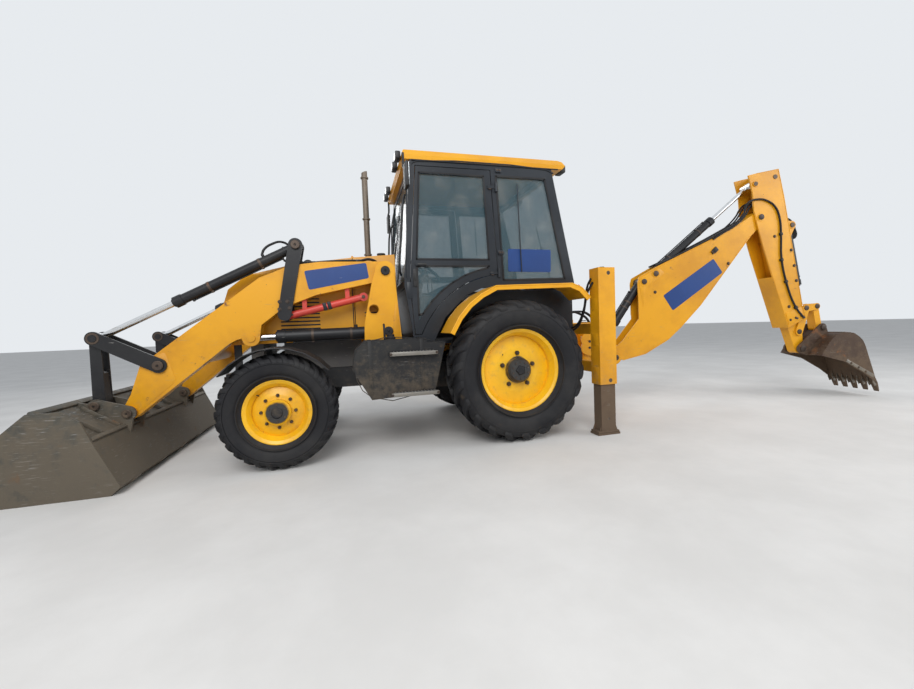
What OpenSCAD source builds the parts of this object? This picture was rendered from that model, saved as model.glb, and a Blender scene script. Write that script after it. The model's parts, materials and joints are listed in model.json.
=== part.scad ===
// Backhoe loader: loader arms and bucket in front, cab, two sizes of wheel,
// and a slewing, side-shifting digging arm between two drop-down legs behind.
// Millimetres. +X forward, +Y to the machine's left, +Z up, ground at z = 0.
// Side outlines are written as [x, z] points from the rear axle's centre line.

/* [Wheels and axles] */
// Distance between the axles
wheelbase = 2170; // [2100:10:2250]
// Rear axle's place ahead of the origin
rear_axle_x = 565; // [0:1:800]
// Rear tyre's outer radius
rear_tyre_r = 690; // [660:5:700]
// Rear tyre's width
rear_tyre_w = 420; // [380:5:430]
// Middle of the rear tyre from the centre plane
rear_track = 910; // [905:1:925]
// Rear rim's flange radius
rear_rim_r = 390; // [360:5:400]
// Front tyre's outer radius
front_tyre_r = 485; // [460:5:490]
// Front tyre's width
front_tyre_w = 310; // [280:5:320]
// Middle of the front tyre from the centre plane
front_track = 945; // [940:1:970]
// Front rim's flange radius
front_rim_r = 262; // [240:2:270]
// King pin's place from the centre plane
kingpin_y = 740; // [730:1:745]

/* [Chassis and hood] */
// Height of the frame's top edge at the front
frame_top_z = 760; // [740:5:780]
// Half the width of the hood
hood_half_w = 430; // [400:5:436]
// Foremost point of the hood
hood_nose_x = 2700; // [2660:5:2720]
// Seam between the fixed cowl and the hood
hood_seam_x = 1500; // [1480:5:1540]
// Thickness of the hood's sheet
sheet = 8; // [5:1:12]

/* [Cab] */
// Outer half width of the cab
cab_half_w = 720; // [710:1:724]
// Thickness of the cab's walls and doors
cab_wall = 32; // [24:1:40]
// Height of the cab's floor
floor_z = 1000; // [985:5:1015]
// Height of the roof's underside
roof_z = 2750; // [2730:5:2780]
// Thickness of the roof
roof_t = 130; // [100:5:150]
// Gap round a door
door_gap = 7; // [6:1:10]

/* [Loader] */
// Middle of a loader arm from the centre plane
arm_y = 580; // [578:1:584]
// Width of a loader arm
arm_w = 120; // [110:1:122]
// Half the width of the loader bucket
bucket_half_w = 1175; // [1120:5:1180]
// Plate thickness of the loader bucket
bucket_t = 16; // [12:1:20]

/* [Rear frame and legs] */
// Outer half width of the rear frame
frame_half_w = 1175; // [1170:1:1180]
// Width of a leg's housing across the machine
housing_w = 150; // [140:1:156]
// Length of a leg's housing along the machine
housing_l = 186; // [170:1:190]
// Rear face of the leg housings
housing_x = -972; // [-985:1:-965]
// Wall of the leg housings
housing_t = 12; // [8:1:14]

/* [Backhoe] */
// Slewing axis behind the rear axle
slew_x = -1360; // [-1380:5:-1350]
// Angle at which the digging arm stands, towards the machine's left
slew_rest = 10; // [0:1:15]
// Angle of the boom above level
boom_angle = 41; // [38:1:46]
// Length of the boom between its pins
boom_len = 2650; // [2600:10:2700]
// Lean of the dipper from upright
dipper_lean = 19; // [14:1:24]
// Length of the dipper between its pins
dipper_len = 1840; // [1820:5:1860]
// Half the width of the boom
boom_half_w = 100; // [94:1:101]
// Half the width of the digging bucket
dig_half_w = 300; // [200:5:320]

/* [Pins] */
// Running clearance of a pin in its bore, on the radius
pin_fit = 0.5; // [0.3:0.1:0.8]
// Radius of the loader's pins
pin_r = 28; // [24:1:30]
// Radius of the digging arm's pins
dig_pin_r = 25; // [22:1:28]

/* [Hidden] */
$fn = 48;

yellow = [0.95, 0.66, 0.08];
black = [0.12, 0.12, 0.13];
dirty_steel = [0.36, 0.33, 0.30];
chrome = [0.78, 0.79, 0.80];
rubber = [0.10, 0.10, 0.10];
glass = [0.35, 0.45, 0.48, 0.6];
red = [0.75, 0.12, 0.10];
rust = [0.40, 0.26, 0.18];

// Loader's pivots
arm_pivot = [1207, 1697];
lift_base = [1201, 1116];
lift_eye = [2425, 1102];
crowd_base = [2006, 1935];
crowd_foot = [2131, 1304];
rocker_pivot = [3150, 900];
rocker_end = [3600, 1150];
bucket_pin = [3380, 520];
link_pin = [3600, 600];
// Layers of the loader's linkage across the machine, from an arm's middle plane
side_gap = 6;
ear_t = 18;
eye_half = 38;
fork_in = eye_half + 4;
fork_out = fork_in + 14;
rocker_in = arm_w / 2 + side_gap;
rocker_out = rocker_in + ear_t;
ear_in = rocker_out + 8;
ear_out = ear_in + 22;

// Backhoe's pivots in the slewing plane: [distance behind the slewing axis, height]
boom_foot = [360, 660];
boom_ram_base = [300, 930];
function turn(p, a) = [p[0] * cos(a) - p[1] * sin(a), p[0] * sin(a) + p[1] * cos(a)];
function on_boom(p) = boom_foot + turn(p, boom_angle);
elbow = on_boom([boom_len, 0]);
dipper_angle = dipper_lean - 90;
function on_dipper(p) = elbow + turn(p, dipper_angle);
boom_ram_eye = [935, 450];
dipper_ram_base = [1120, 420];
dipper_ram_eye = [-425, 66];
bucket_ram_base = [250, 420];
lever_pivot = [dipper_len - 220, 60];
lever_eye = [dipper_len - 483, 259];
lever_end = [dipper_len - 449, 412];
dig_pin = [dipper_len, 0];
nose_half = 60;
slide_slope = 0.12;
inner_w0 = 204;
inner_depth = 176;
function inner_w(u) = inner_w0 - slide_slope * u;
tip_angle = 37.6;
tip_r = 1082;
dig_link_own = [402 * cos(76.2), 402 * sin(76.2)];
lever_in = 66;
lever_out = 82;
dig_ear_in = 90;
dig_ear_out = 112;
dig_link_pin = dig_pin + turn(dig_link_own, tip_angle);

// A side outline extruded across the machine from y0 to y1
module slab(y0, y1) {
    translate([0, y1, 0]) rotate([90, 0, 0]) linear_extrude(y1 - y0) children();
}

// A piece and its mirror image on the other side
module both() {
    children();
    mirror([0, 1, 0]) children();
}

// A pin or tube across the machine at a point of the side view
module pin_y(p, y0, y1, r) {
    translate([p[0], y1, p[1]]) rotate([90, 0, 0]) cylinder(r = r, h = y1 - y0);
}

// Side outline of a link with two round ends
module link2d(p, q, r1, r2) {
    d = norm(q - p);
    s = (r1 - r2) / d;
    c = sqrt(1 - s * s) * 0.985;
    translate(p) circle(r = r1);
    translate(q) circle(r = r2);
    translate(p) rotate(atan2(q[1] - p[1], q[0] - p[0]))
        polygon([[r1 * s, r1 * c], [d + r2 * s, r2 * c], [d + r2 * s, -r2 * c], [r1 * s, -r1 * c]]);
}

// Side outline of a bent strip of sheet along points
module strip2d(pts, t) {
    for (i = [0 : len(pts) - 2]) {
        p = pts[i];
        d = norm(pts[i + 1] - p);
        translate(p) rotate(atan2(pts[i + 1][1] - p[1], pts[i + 1][0] - p[0]))
            translate([0, -t / 2]) square([d, t]);
        if (i > 0) translate(p) circle(r = t / 2 * 1.01, $fn = 16);
    }
}

// Everything that runs along the line from p to q in the side view, drawn along local +X
module along(p, q, y = 0) {
    translate([p[0], y, p[1]]) rotate([0, -atan2(q[1] - p[1], q[0] - p[0]), 0]) children();
}

// A round bar along local +X
module bar_x(x0, x1, r) {
    translate([x0, 0, 0]) rotate([0, 90, 0]) cylinder(r = r, h = x1 - x0);
}

// Barrel of a cylinder: tail eye at p, tube with a real bore towards q
module ram_barrel(p, q, y, length, r, rod_r, eye_half_w, eye_pin_r) {
    along(p, q, y) difference() {
        union() {
            bar_x(r * 0.8, length, r);
            bar_x(length - 70, length, r + 7);
            rotate([90, 0, 0]) translate([0, 0, -eye_half_w]) cylinder(r = r * 1.02, h = 2 * eye_half_w);
        }
        bar_x(r + 60, length + 10, rod_r + 0.8);
        rotate([90, 0, 0]) translate([0, 0, -eye_half_w - 1])
            cylinder(r = eye_pin_r + pin_fit, h = 2 * eye_half_w + 2);
    }
}

// Rod of a cylinder: eye at q, inner end inside the barrel
module ram_rod(p, q, y, inner, rod_r, eye_r, eye_half_w) {
    d = norm(q - p);
    along(p, q, y) union() {
        bar_x(inner, d - eye_r * 0.6, rod_r);
        translate([d, eye_half_w, 0]) rotate([90, 0, 0]) cylinder(r = eye_r, h = 2 * eye_half_w);
    }
}

// The machine's own place from the origin
module machine() {
    translate([rear_axle_x, 0, 0]) children();
}

// The slewing plane of the digging arm: local +X runs back from the slewing axis
module backhoe() {
    machine() translate([slew_x, 0, 0]) rotate([0, 0, 180 - slew_rest]) children();
}
module boom_frame() {
    backhoe() translate([boom_foot[0], 0, boom_foot[1]]) rotate([0, -boom_angle, 0]) children();
}
module dipper_frame() {
    backhoe() translate([elbow[0], 0, elbow[1]]) rotate([0, -dipper_angle, 0]) children();
}

// Chassis: two side members, cross members, axle saddles, gearbox and drive shafts
rail_in = 280;
hood_low_z = 1040;
rail_out = 330;
axle_boss_z = 615;
rail_hump_z = 950;
tow_pin = [hood_nose_x + 75, 17.5];
module rail2d() {
    polygon([[-862, 600], [-862, 930], [-700, rail_hump_z], [-300, rail_hump_z], [200, 930],
             [560, frame_top_z], [hood_nose_x - 30, frame_top_z], [hood_nose_x - 30, 600], [1950, 600],
             [1700, 560], [620, 560], [330, 800], [-330, 800], [-600, 640]]);
}
module chassis() {
    color(black) machine() {
        both() slab(rail_in, rail_out) rail2d();
        for (x = [hood_nose_x - 90, 2400, 1500, 700, -850])
            translate([x, -rail_in, frame_top_z - 100]) cube([60, 2 * rail_in, 100]);
        both() translate([2560, rail_out - 1, frame_top_z - 40]) cube([60, hood_half_w - rail_out + 1, 40]);
        both() translate([2560, hood_half_w - 35, frame_top_z - 1]) cube([60, 35, hood_low_z - frame_top_z + 1]);
        translate([hood_nose_x + 29, 0, 0]) difference() {
            translate([0, -70, 640]) cube([91, 140, 70]);
            translate([46, 0, 600]) cylinder(r = tow_pin[1], h = 150);
        }
        translate([hood_nose_x - 30, -rail_out, 600]) cube([60, 2 * rail_out, frame_top_z - 600]);
        for (x = [wheelbase - 190, wheelbase + 140]) translate([x, -140, 540]) cube([50, 280, frame_top_z - 560]);
        for (x = [wheelbase - 190, wheelbase + 140])
            translate([x, -rail_in, frame_top_z - 60]) cube([50, 2 * rail_in, 60]);
        translate([wheelbase - 190, 0, axle_boss_z]) bar_x(0, 380, 40);
        translate([420, -230, 470]) cube([560, 460, 330]);
        translate([980, 0, 560]) bar_x(0, wheelbase - 200 - 980, 35);
        translate([230, 0, 640]) bar_x(0, 195, 40);
    }
}

// Engine as one plain block, with the radiator ahead of it
module engine_block() {
    color([0.3, 0.3, 0.32]) machine() {
        translate([1450, -240, frame_top_z]) cube([760, 480, 620]);
        translate([2380, -360, frame_top_z]) cube([110, 720, 700]);
    }
}

// Front axle beam on its boss, rear axle housing with its planet hubs' trumpets
module axles() {
    beam_end = kingpin_y - 60;
    color(black) machine() {
        difference() {
            union() {
                translate([wheelbase, -beam_end, front_tyre_r]) rotate([-90, 0, 0])
                    cylinder(r = 62, h = 2 * beam_end);
                translate([wheelbase, 60, front_tyre_r]) sphere(r = 125);
                translate([wheelbase - 138, -70, front_tyre_r]) cube([276, 140, axle_boss_z - front_tyre_r + 55]);
                both() for (s = [1, -1]) translate([wheelbase, kingpin_y, front_tyre_r + s * 92])
                    cylinder(r = 40, h = 30, center = true);
                both() for (s = [1, -1])
                    translate([wheelbase - 40, beam_end - 30, front_tyre_r + s * 92 - 15]) cube([80, 90, 30]);
                both() translate([wheelbase - 45, beam_end - 40, front_tyre_r - 107]) cube([90, 30, 214]);
                translate([wheelbase + 120, -300, front_tyre_r - 40]) rotate([-90, 0, 0]) cylinder(r = 38, h = 600);
                for (s = [1, -1]) translate([wheelbase + 40, s * 200 - 20, front_tyre_r - 60]) cube([90, 40, 50]);
            }
            translate([wheelbase - 150, 0, axle_boss_z]) bar_x(0, 300, 40.5);
            both() translate([wheelbase, kingpin_y, front_tyre_r - 120]) cylinder(r = 22 + pin_fit, h = 240);
        }
        union() {
            translate([0, -(rear_track - 230), rear_tyre_r]) rotate([-90, 0, 0])
                cylinder(r = 105, h = 2 * (rear_track - 230));
            translate([0, 0, rear_tyre_r]) sphere(r = 215);
            both() translate([0, rear_track - 330, rear_tyre_r]) rotate([-90, 0, 0]) cylinder(r = 165, h = 60);
            both() translate([0, rear_track - 236, rear_tyre_r]) rotate([-90, 0, 0]) cylinder(r = 60, h = 60);
        }
        both() translate([-110, rail_in + 5, rear_tyre_r + 60]) cube([220, 40, 50]);
    }
}

// Steering knuckle with its king pins and the stub that carries the wheel
stay_z = 700;
module knuckle() {
    machine() {
        difference() {
            union() {
                translate([wheelbase, kingpin_y, front_tyre_r]) cylinder(r = 52, h = 150, center = true);
                translate([wheelbase, kingpin_y, front_tyre_r]) rotate([-90, 0, 0]) cylinder(r = 70, h = 80);
                translate([wheelbase - 120, kingpin_y - 5, front_tyre_r - 25]) cube([120, 45, 40]);
            }
            translate([wheelbase - 200, kingpin_y - 90, front_tyre_r - 90]) cube([400, 40, 180]);
        }
        translate([wheelbase, kingpin_y, front_tyre_r]) cylinder(r = 22, h = 236, center = true);
        translate([wheelbase + 30, kingpin_y + 18, front_tyre_r - 20]) cube([80, 18, 70]);
        translate([wheelbase + 62, kingpin_y + 18, front_tyre_r - 20]) cube([48, 18, stay_z - front_tyre_r + 20]);
        translate([wheelbase, kingpin_y + 80, front_tyre_r]) rotate([-90, 0, 0])
            cylinder(r = 40, h = front_track - kingpin_y - 20);
    }
}
module left_knuckle() { color(black) knuckle(); }
module right_knuckle() { color(black) mirror([0, 1, 0]) knuckle(); }

// Front mudguard: a bent sheet over the tyre on a stay from the knuckle
guard_r = front_tyre_r + 45;
module mudguard() {
    guard = [for (a = [142 : -13 : 38]) [wheelbase + guard_r * cos(a), front_tyre_r + guard_r * sin(a)]];
    in_y = front_track - front_tyre_w / 2;
    machine() {
        slab(in_y + 5, in_y + front_tyre_w - 5) strip2d(guard, 8);
        translate([wheelbase + 62, kingpin_y + 18, stay_z]) cube([48, 18, front_tyre_r + guard_r - 10 - stay_z]);
        translate([wheelbase + 62, kingpin_y + 18, front_tyre_r + guard_r - 16]) cube([48, 70, 12]);
    }
}
module left_mudguard() { color(yellow) mudguard(); }
module right_mudguard() { color(yellow) mirror([0, 1, 0]) mudguard(); }

// Tyre: revolved carcass, crown out to the lugs' tips
module tyre(r, w, bead_r) {
    h = w / 2;
    b = w * 0.31 - 6.5;
    rotate([-90, 0, 0]) rotate_extrude($fn = 64)
        polygon([[bead_r - 13.7, -b], [bead_r + 10, -b], [bead_r + 40, -h * 0.86], [(r + bead_r) / 2, -h],
                 [r - 60, -h * 0.97], [r - 12, -h * 0.78], [r, -h * 0.5], [r, h * 0.5], [r - 12, h * 0.78],
                 [r - 60, h * 0.97], [(r + bead_r) / 2, h], [bead_r + 40, h * 0.86], [bead_r + 10, b],
                 [bead_r - 13.7, b]]);
}
module front_left_tyre() {
    color(rubber) machine() translate([wheelbase, front_track, front_tyre_r])
        tyre(front_tyre_r, front_tyre_w, front_rim_r);
}
module front_right_tyre() { mirror([0, 1, 0]) front_left_tyre(); }
module rear_left_tyre() {
    color(rubber) machine() translate([0, rear_track, rear_tyre_r]) tyre(rear_tyre_r, rear_tyre_w, rear_rim_r);
}
module rear_right_tyre() { mirror([0, 1, 0]) rear_left_tyre(); }

// Rim: well, flanges, dished disc and planet hub; outside towards +Y
module rim(r, w, hub_r, disc_y, bore_r, in_y) {
    h = w * 0.62 / 2;
    well = r - 40;
    rotate([-90, 0, 0]) difference() {
        rotate_extrude($fn = 64)
            polygon([[r - 14, -h], [r, -h - 12], [r + 8, -h - 12], [r + 8, -h - 4], [r - 14.1, -h + 6],
                     [well, -h * 0.5], [well, h * 0.5], [r - 14.1, h - 6], [r + 8, h + 4], [r + 8, h + 12],
                     [r, h + 12], [r - 22, h], [well - 12, h * 0.55], [well - 12, disc_y + 10],
                     [well * 0.62, disc_y + 34], [hub_r, disc_y + 40], [hub_r, disc_y + 95],
                     [hub_r - 22, disc_y + 120], [0, disc_y + 120], [0, in_y], [bore_r * 2, in_y],
                     [bore_r * 2, disc_y + 12], [hub_r, disc_y + 22], [well * 0.62, disc_y + 18],
                     [well - 12, disc_y - 6], [well - 12, -h * 0.55], [r - 22, -h]]);
        translate([0, 0, in_y - 1]) cylinder(r = bore_r + pin_fit, h = disc_y + 60 - in_y);
    }
}
module front_left_rim() {
    color(yellow) machine() translate([wheelbase, front_track, front_tyre_r])
        rim(front_rim_r, front_tyre_w, 105, 20, 40, kingpin_y + 90 - front_track);
}
module front_right_rim() { mirror([0, 1, 0]) front_left_rim(); }
module rear_left_rim() {
    color(yellow) machine() translate([0, rear_track, rear_tyre_r]) rim(rear_rim_r, rear_tyre_w, 120, 20, 60, -224);
}
module rear_right_rim() { mirror([0, 1, 0]) rear_left_rim(); }

// Fuel and oil tank with steps on the left, battery box with steps on the right
tank_in = 692;
module side_tanks() {
    color(black) machine() both() {
        slab(tank_in, 725) polygon([[703, 990], [1508, 990], [1530, 960], [1560, 780], [1400, 500], [820, 530]]);
        slab(724, 930) polygon([[700, 1000], [880, 1000], [880, 1040], [1440, 1040], [1530, 960],
                                [1560, 780], [1400, 500], [820, 530]]);
        for (x = [900, 1350]) translate([x, rail_out, 570]) cube([60, tank_in + 1 - rail_out, 80]);
        for (z = [520, 890]) translate([790, 930, z]) cube([440, 60, 30]);
    }
}

// Rear fenders: bent sheet over each rear tyre, with a rib down to the frame
fender_line = [[690, 1075], [610, 1215], [510, 1330], [390, 1420], [245, 1492], [-540, 1507],
               [-640, 1467], [-735, 1370]];
function inward(p) = [0, rear_tyre_r] + (p - [0, rear_tyre_r]) * 0.955;
module rear_fenders() {
    color(yellow) machine() both() {
        slab(cab_half_w, 1120) strip2d(fender_line, 12);
        slab(1108, 1120) polygon(concat(fender_line, [for (i = [7 : -1 : 0]) inward(fender_line[i])]));
    }
}

// Cab's tub: floor, inner wheel panels, lower front and rear walls, seat pedestal
tub_half = 688;
cab_front_low = [960, floor_z];
cab_front_mid = [1035, 1550];
cab_front_top = [935, roof_z];
cab_rear_top = [-560, roof_z];
cab_rear_mid = [-800, 1560];
module cab_floor() {
    color(black) machine() {
        translate([-790, -tub_half, floor_z - 30]) cube([1700, 2 * tub_half, 30]);
        both() slab(tub_half - 20, tub_half)
            polygon([[-790, floor_z], [560, floor_z], [560, 1180], [400, 1400], [200, 1486], [-790, 1486]]);
        translate([-790, -tub_half + 20, floor_z]) cube([20, 2 * tub_half - 40, 486]);
        slab(-tub_half, tub_half) polygon([[890, floor_z], [910, floor_z], [980, 1490], [1000, 1540], [960, 1540]]);
        translate([-150, -130, floor_z]) cube([260, 260, 300]);
        both() translate([780, rail_in, frame_top_z]) cube([100, 100, floor_z - 30 - frame_top_z]);
        both() translate([-700, rail_in, rail_hump_z]) cube([140, 90, floor_z - 30 - rail_hump_z]);
    }
}

// Side wall's outline and the openings in it
door_arc_r = 965;
// Upright axis of the door hinges, just outside the wall
hinge_x = 66;
hinge_y = cab_half_w + 12;
hinge_z = [1620, 2480];
module wall2d() {
    difference() {
        polygon([cab_front_low, cab_front_mid, cab_front_top, cab_rear_top, cab_rear_mid, [-800, 1514],
                 [250, 1514], [420, 1440], [640, 1230], [760, floor_z]]);
        translate([0, rear_tyre_r]) circle(r = 820, $fn = 192);
    }
}
// Door opening in the wall, grown by g: hinge post side, sill arc and front post
module door2d(g) {
    difference() {
        intersection() {
            polygon([[70 - g, 1000], [945 + g, 1075 - g], [975 + g, 1550], [880 + g, roof_z - 60 + g],
                     [125 - g, roof_z - 60 + g], [70 - g, 1570]]);
            translate([0, 1075 - g]) square([1200, 1800]);
        }
        translate([0, rear_tyre_r]) circle(r = door_arc_r - g, $fn = 192);
    }
}
// The door's upper and lower windows
module door_panes2d(g) {
    translate([-g, -g]) polygon([[165, 1800], [905 + 2 * g, 1800], [850 + 2 * g, roof_z - 120 + 2 * g],
                                 [195, roof_z - 120 + 2 * g]]);
    difference() {
        translate([-g, -g]) polygon([[165, 1500], [905, 1180], [905 + 2 * g, 1740 + 2 * g], [165, 1740 + 2 * g]]);
        translate([0, rear_tyre_r]) circle(r = door_arc_r + 75 - g, $fn = 192);
    }
}
module quarter2d() {
    polygon([[10, 1590], [60, roof_z - 110], [-480, roof_z - 110], [-690, 1600]]);
}
module cab_frame() {
    color(black) machine() {
        both() slab(cab_half_w - cab_wall, cab_half_w) difference() {
            wall2d();
            door2d(door_gap);
            quarter2d();
        }
        both() for (z = hinge_z) {
            for (dz = [0, 60]) translate([hinge_x, hinge_y, z + dz]) {
                cylinder(r = 12, h = 30);
                translate([z > 2000 ? -4 : -36, cab_half_w - hinge_y - 1, 0]) cube([36, 5, 30]);
            }
        }
        for (x = [890, -560])
            translate([x, -cab_half_w + cab_wall, roof_z - 70]) cube([42, 2 * (cab_half_w - cab_wall), 70]);
        slab(-cab_half_w + cab_wall, cab_half_w - cab_wall) polygon([[984, 1540], [1025, 1540], [1030, 1600], [984, 1600]]);
        slab(-cab_half_w + cab_wall, cab_half_w - cab_wall) polygon([[-800, 1486], [-740, 1486], [-740, 1600], [-795, 1600]]);
    }
}
module cab_roof() {
    color(yellow) machine() intersection() {
        slab(-cab_half_w - 10, cab_half_w + 10) union() {
            translate([0, roof_z]) polygon([[-690, 0], [985, 0], [1010, 40], [990, 95], [900, roof_t],
                                            [-560, roof_t], [-700, 85], [-720, 30]]);
        }
        translate([-800, 0, roof_z]) rotate([90, 0, 90]) linear_extrude(1900)
            polygon([[-725, 0], [725, 0], [730, 40], [690, 100], [560, roof_t], [-560, roof_t], [-690, 100], [-730, 40]]);
    }
}
module cab_glass() {
    inner = cab_half_w - cab_wall;
    color(glass) machine() {
        both() slab(cab_half_w - 20, cab_half_w - 14) quarter2d();
        slab(-inner, inner) polygon([[1012, 1600], [1018, 1600], [926, roof_z - 70], [920, roof_z - 70]]);
        slab(-inner, inner) polygon([[-786, 1600], [-780, 1600], [-552, roof_z - 70], [-558, roof_z - 70]]);
    }
}
module door_shell() {
    machine() slab(cab_half_w - cab_wall, cab_half_w) difference() {
        door2d(0);
        door_panes2d(0);
    }
}
module door_hinges() {
    machine() for (z = hinge_z) {
        translate([hinge_x, hinge_y, z + 30.4]) cylinder(r = 11.6, h = 29.2);
        translate([hinge_x, cab_half_w + 5, z + 30.4]) cube([90, 5, 29.2]);
        translate([hinge_x + 62, cab_half_w - 2, z + 30.4]) cube([28, 8, 29.2]);
    }
}
module door_handle() {
    machine() translate([830, cab_half_w, 1735]) cube([90, 22, 26]);
}
module left_door() { color(black) { door_shell(); door_handle(); door_hinges(); } }
module right_door() { mirror([0, 1, 0]) left_door(); }
module left_door_glass() {
    color(glass) machine() slab(cab_half_w - 20, cab_half_w - 14) door_panes2d(0);
}
module right_door_glass() { mirror([0, 1, 0]) left_door_glass(); }

// Roof lamps front and rear, beacon, headlamps in the hood's shoulders and mirrors
module lamps_and_mirrors() {
    color([0.8, 0.8, 0.75]) machine() {
        both() for (y = [300, 560]) translate([1010, y, roof_z + 15]) cube([55, 130, 75]);
        both() translate([-790, 500, roof_z + 10]) cube([70, 130, 80]);
        translate([640, 300, roof_z + roof_t]) cylinder(r = 55, h = 90);
        both() {
            translate([985, 730, 2640]) cube([24, 120, 24]);
            translate([985, 730, 2640]) cube([24, 20, 170]);
            translate([975, 800, 2420]) cube([40, 150, 230]);
        }
    }
}

// Exhaust stack on the fixed cowl, cut slantwise at its top
stack_x = 1310;
stack_y = -330;
module exhaust_stack() {
    color(rust) machine() difference() {
        translate([stack_x, stack_y, 1870]) union() {
            cylinder(r = 52, h = 72);
            cylinder(r = 34, h = 1182);
        }
        slab(-hood_half_w, 0) polygon([[1075, 1700], [1075, 1905.2], [hood_seam_x, 1870.2], [hood_seam_x, 1700]]);
        translate([stack_x, stack_y, 2000]) cylinder(r = 30, h = 1200);
        translate([stack_x - 100, stack_y - 60, 3030]) rotate([0, 20, 0]) cube([300, 120, 200]);
    }
}

// Outline of the hood's section over its length, lower on the inside by the sheet
module hood2d(g, x0, x1) {
    intersection() {
        polygon([[1075, hood_low_z - g], [1075, 1905 - g], [1500, 1870 - g], [2050, 1800 - g], [2480, 1690 - g],
                 [2640 - g, 1560 - g], [hood_nose_x - g, 1380], [hood_nose_x - g, hood_low_z - g]]);
        translate([x0, 900]) square([x1 - x0, 1200]);
    }
}
module hood_shell(x0, x1, front_g) {
    w = hood_half_w;
    difference() {
        intersection() {
            slab(-w, w) hood2d(0, x0, x1);
            translate([x0 - 10, 0, 0]) rotate([90, 0, 90]) linear_extrude(x1 - x0 + 20)
                polygon([[-w, 1000], [w, 1000], [w, 1700], [w - 60, 1960], [-w + 60, 1960], [-w, 1700]]);
        }
        intersection() {
            slab(-w + sheet, w - sheet) hood2d(sheet, x0 - 50, x1 - front_g);
            translate([x0 - 60, 0, 0]) rotate([90, 0, 90]) linear_extrude(x1 - x0 + 80)
                polygon([[-w + sheet, 900], [w - sheet, 900], [w - sheet, 1695], [w - 60 - sheet, 1960 - sheet],
                         [-w + 60 + sheet, 1960 - sheet], [-w + sheet, 1695]]);
        }
    }
}
// Side view of the hood hinge's axis
hood_hinge = [1504, 1882];
module front_cowl() {
    color(yellow) machine() {
        hood_shell(1080, hood_seam_x, -60);
        both() for (y = [260, 315]) {
            pin_y(hood_hinge, y, y + 25, 12);
            slab(y, y + 25) polygon([[1468, 1868], [1498, 1866], [1504, 1871], [1504, 1884], [1468, 1880]]);
        }
    }
}
module bonnet() {
    color(yellow) machine() difference() {
        union() {
            hood_shell(hood_seam_x + 8, hood_nose_x, sheet);
            both() {
                pin_y(hood_hinge, 285.4, 314.6, 11.6);
                slab(285.4, 314.6) polygon([[1510, 1862], [1545, 1860], [1545, 1872], [1504, 1884], [1504, 1872]]);
            }
        }
        for (z = [1080 : 60 : 1320]) translate([hood_nose_x - 60, -300, z]) cube([100, 600, 34]);
    }
}

// Loader tower: two plates each side, tied to the frame, with their pins
tower_in = arm_y - arm_w / 2 - 8;
tower_out = arm_y + arm_w / 2 + 8;
tower_t = 18;
module tower2d() {
    difference() {
        union() {
            polygon([[1055, 762], [1440, 762], [1425, 1180], [1345, 1560], [1290, 1745], [1125, 1745], [1100, 1400]]);
            translate(arm_pivot) circle(r = 96);
        }
        translate([1330, 1330]) circle(r = 45);
    }
}
module loader_tower() {
    color(yellow) machine() both() {
        slab(tower_in - tower_t, tower_in) tower2d();
        slab(tower_out, tower_out + tower_t) tower2d();
        translate([1110, hood_half_w - 35, frame_top_z]) cube([60, 35, hood_low_z - frame_top_z]);
        translate([1050, rail_out, frame_top_z - 90]) cube([400, tower_out + tower_t - rail_out, 92]);
        pin_y(arm_pivot, tower_in - tower_t - 12, tower_out + tower_t + 12, pin_r);
        pin_y(lift_base, tower_in - tower_t - 12, tower_out + tower_t + 12, pin_r);
    }
}

// Loader arms: two cranked box beams and the tube that ties them
module arm2d() {
    difference() {
        union() {
            polygon([[1207, 1612], [1850, 1478], [2130, 1372], [2400, 1165], [2600, 1060], [3343, 473],
                     [3430, 560], [3215, 965], [2330, 1640], [2060, 1750], [1800, 1785], [1207, 1790]]);
            translate(arm_pivot) circle(r = 93);
            translate(rocker_pivot) circle(r = 66);
            translate(bucket_pin) circle(r = 60);
        }
        for (p = [arm_pivot, rocker_pivot, bucket_pin]) translate(p) circle(r = pin_r + pin_fit);
    }
}
module lift_ear2d() {
    polygon([[2330, 1230], [2352, 1100], [2500, 1100], [2590, 1080], [2500, 1180]]);
    translate(lift_eye) circle(r = 74);
}
// Bored boss through an arm, standing out to half width hw
module arm_boss(p, r, hw) {
    slab(arm_y - hw, arm_y + hw) translate(p) difference() {
        circle(r = r);
        circle(r = pin_r + pin_fit);
    }
}
module loader_arms() {
    color(yellow) machine() {
        both() difference() {
            slab(arm_y - arm_w / 2, arm_y + arm_w / 2) arm2d();
            slab(arm_y - 44, arm_y + 44) translate(lift_eye) circle(r = 112);
        }
        both() for (s = [-1, 1]) translate([0, arm_y + s * (arm_w / 2 - 7), 0]) slab(-7, 7) lift_ear2d();
        both() for (s = [-1, 1]) translate([0, arm_y + s * (arm_w / 2 + 4), 0])
            slab(-6, 6) translate(lift_eye) circle(r = 36);
        both() arm_boss(arm_pivot, 60, tower_out - 0.4 - arm_y);
        both() arm_boss(rocker_pivot, 50, rocker_in - 0.4);
        both() arm_boss(bucket_pin, 48, ear_in - 0.4);
        pin_y([2935, 960], -arm_y + arm_w / 2 - 1, arm_y - arm_w / 2 + 1, 85);
    }
}
// Brackets that carry the bucket cylinders' tails above the arms
module crowd_brackets() {
    color(black) machine() both() {
        for (s = [-1, 1]) translate([0, arm_y + s * (arm_w / 2 + ear_t / 2), 0])
            slab(-ear_t / 2, ear_t / 2) link2d(crowd_base, crowd_foot, 62, 58);
        pin_y(crowd_base, arm_y - arm_w / 2 - ear_t - 12, arm_y + arm_w / 2 + ear_t + 12, pin_r);
    }
}
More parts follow.
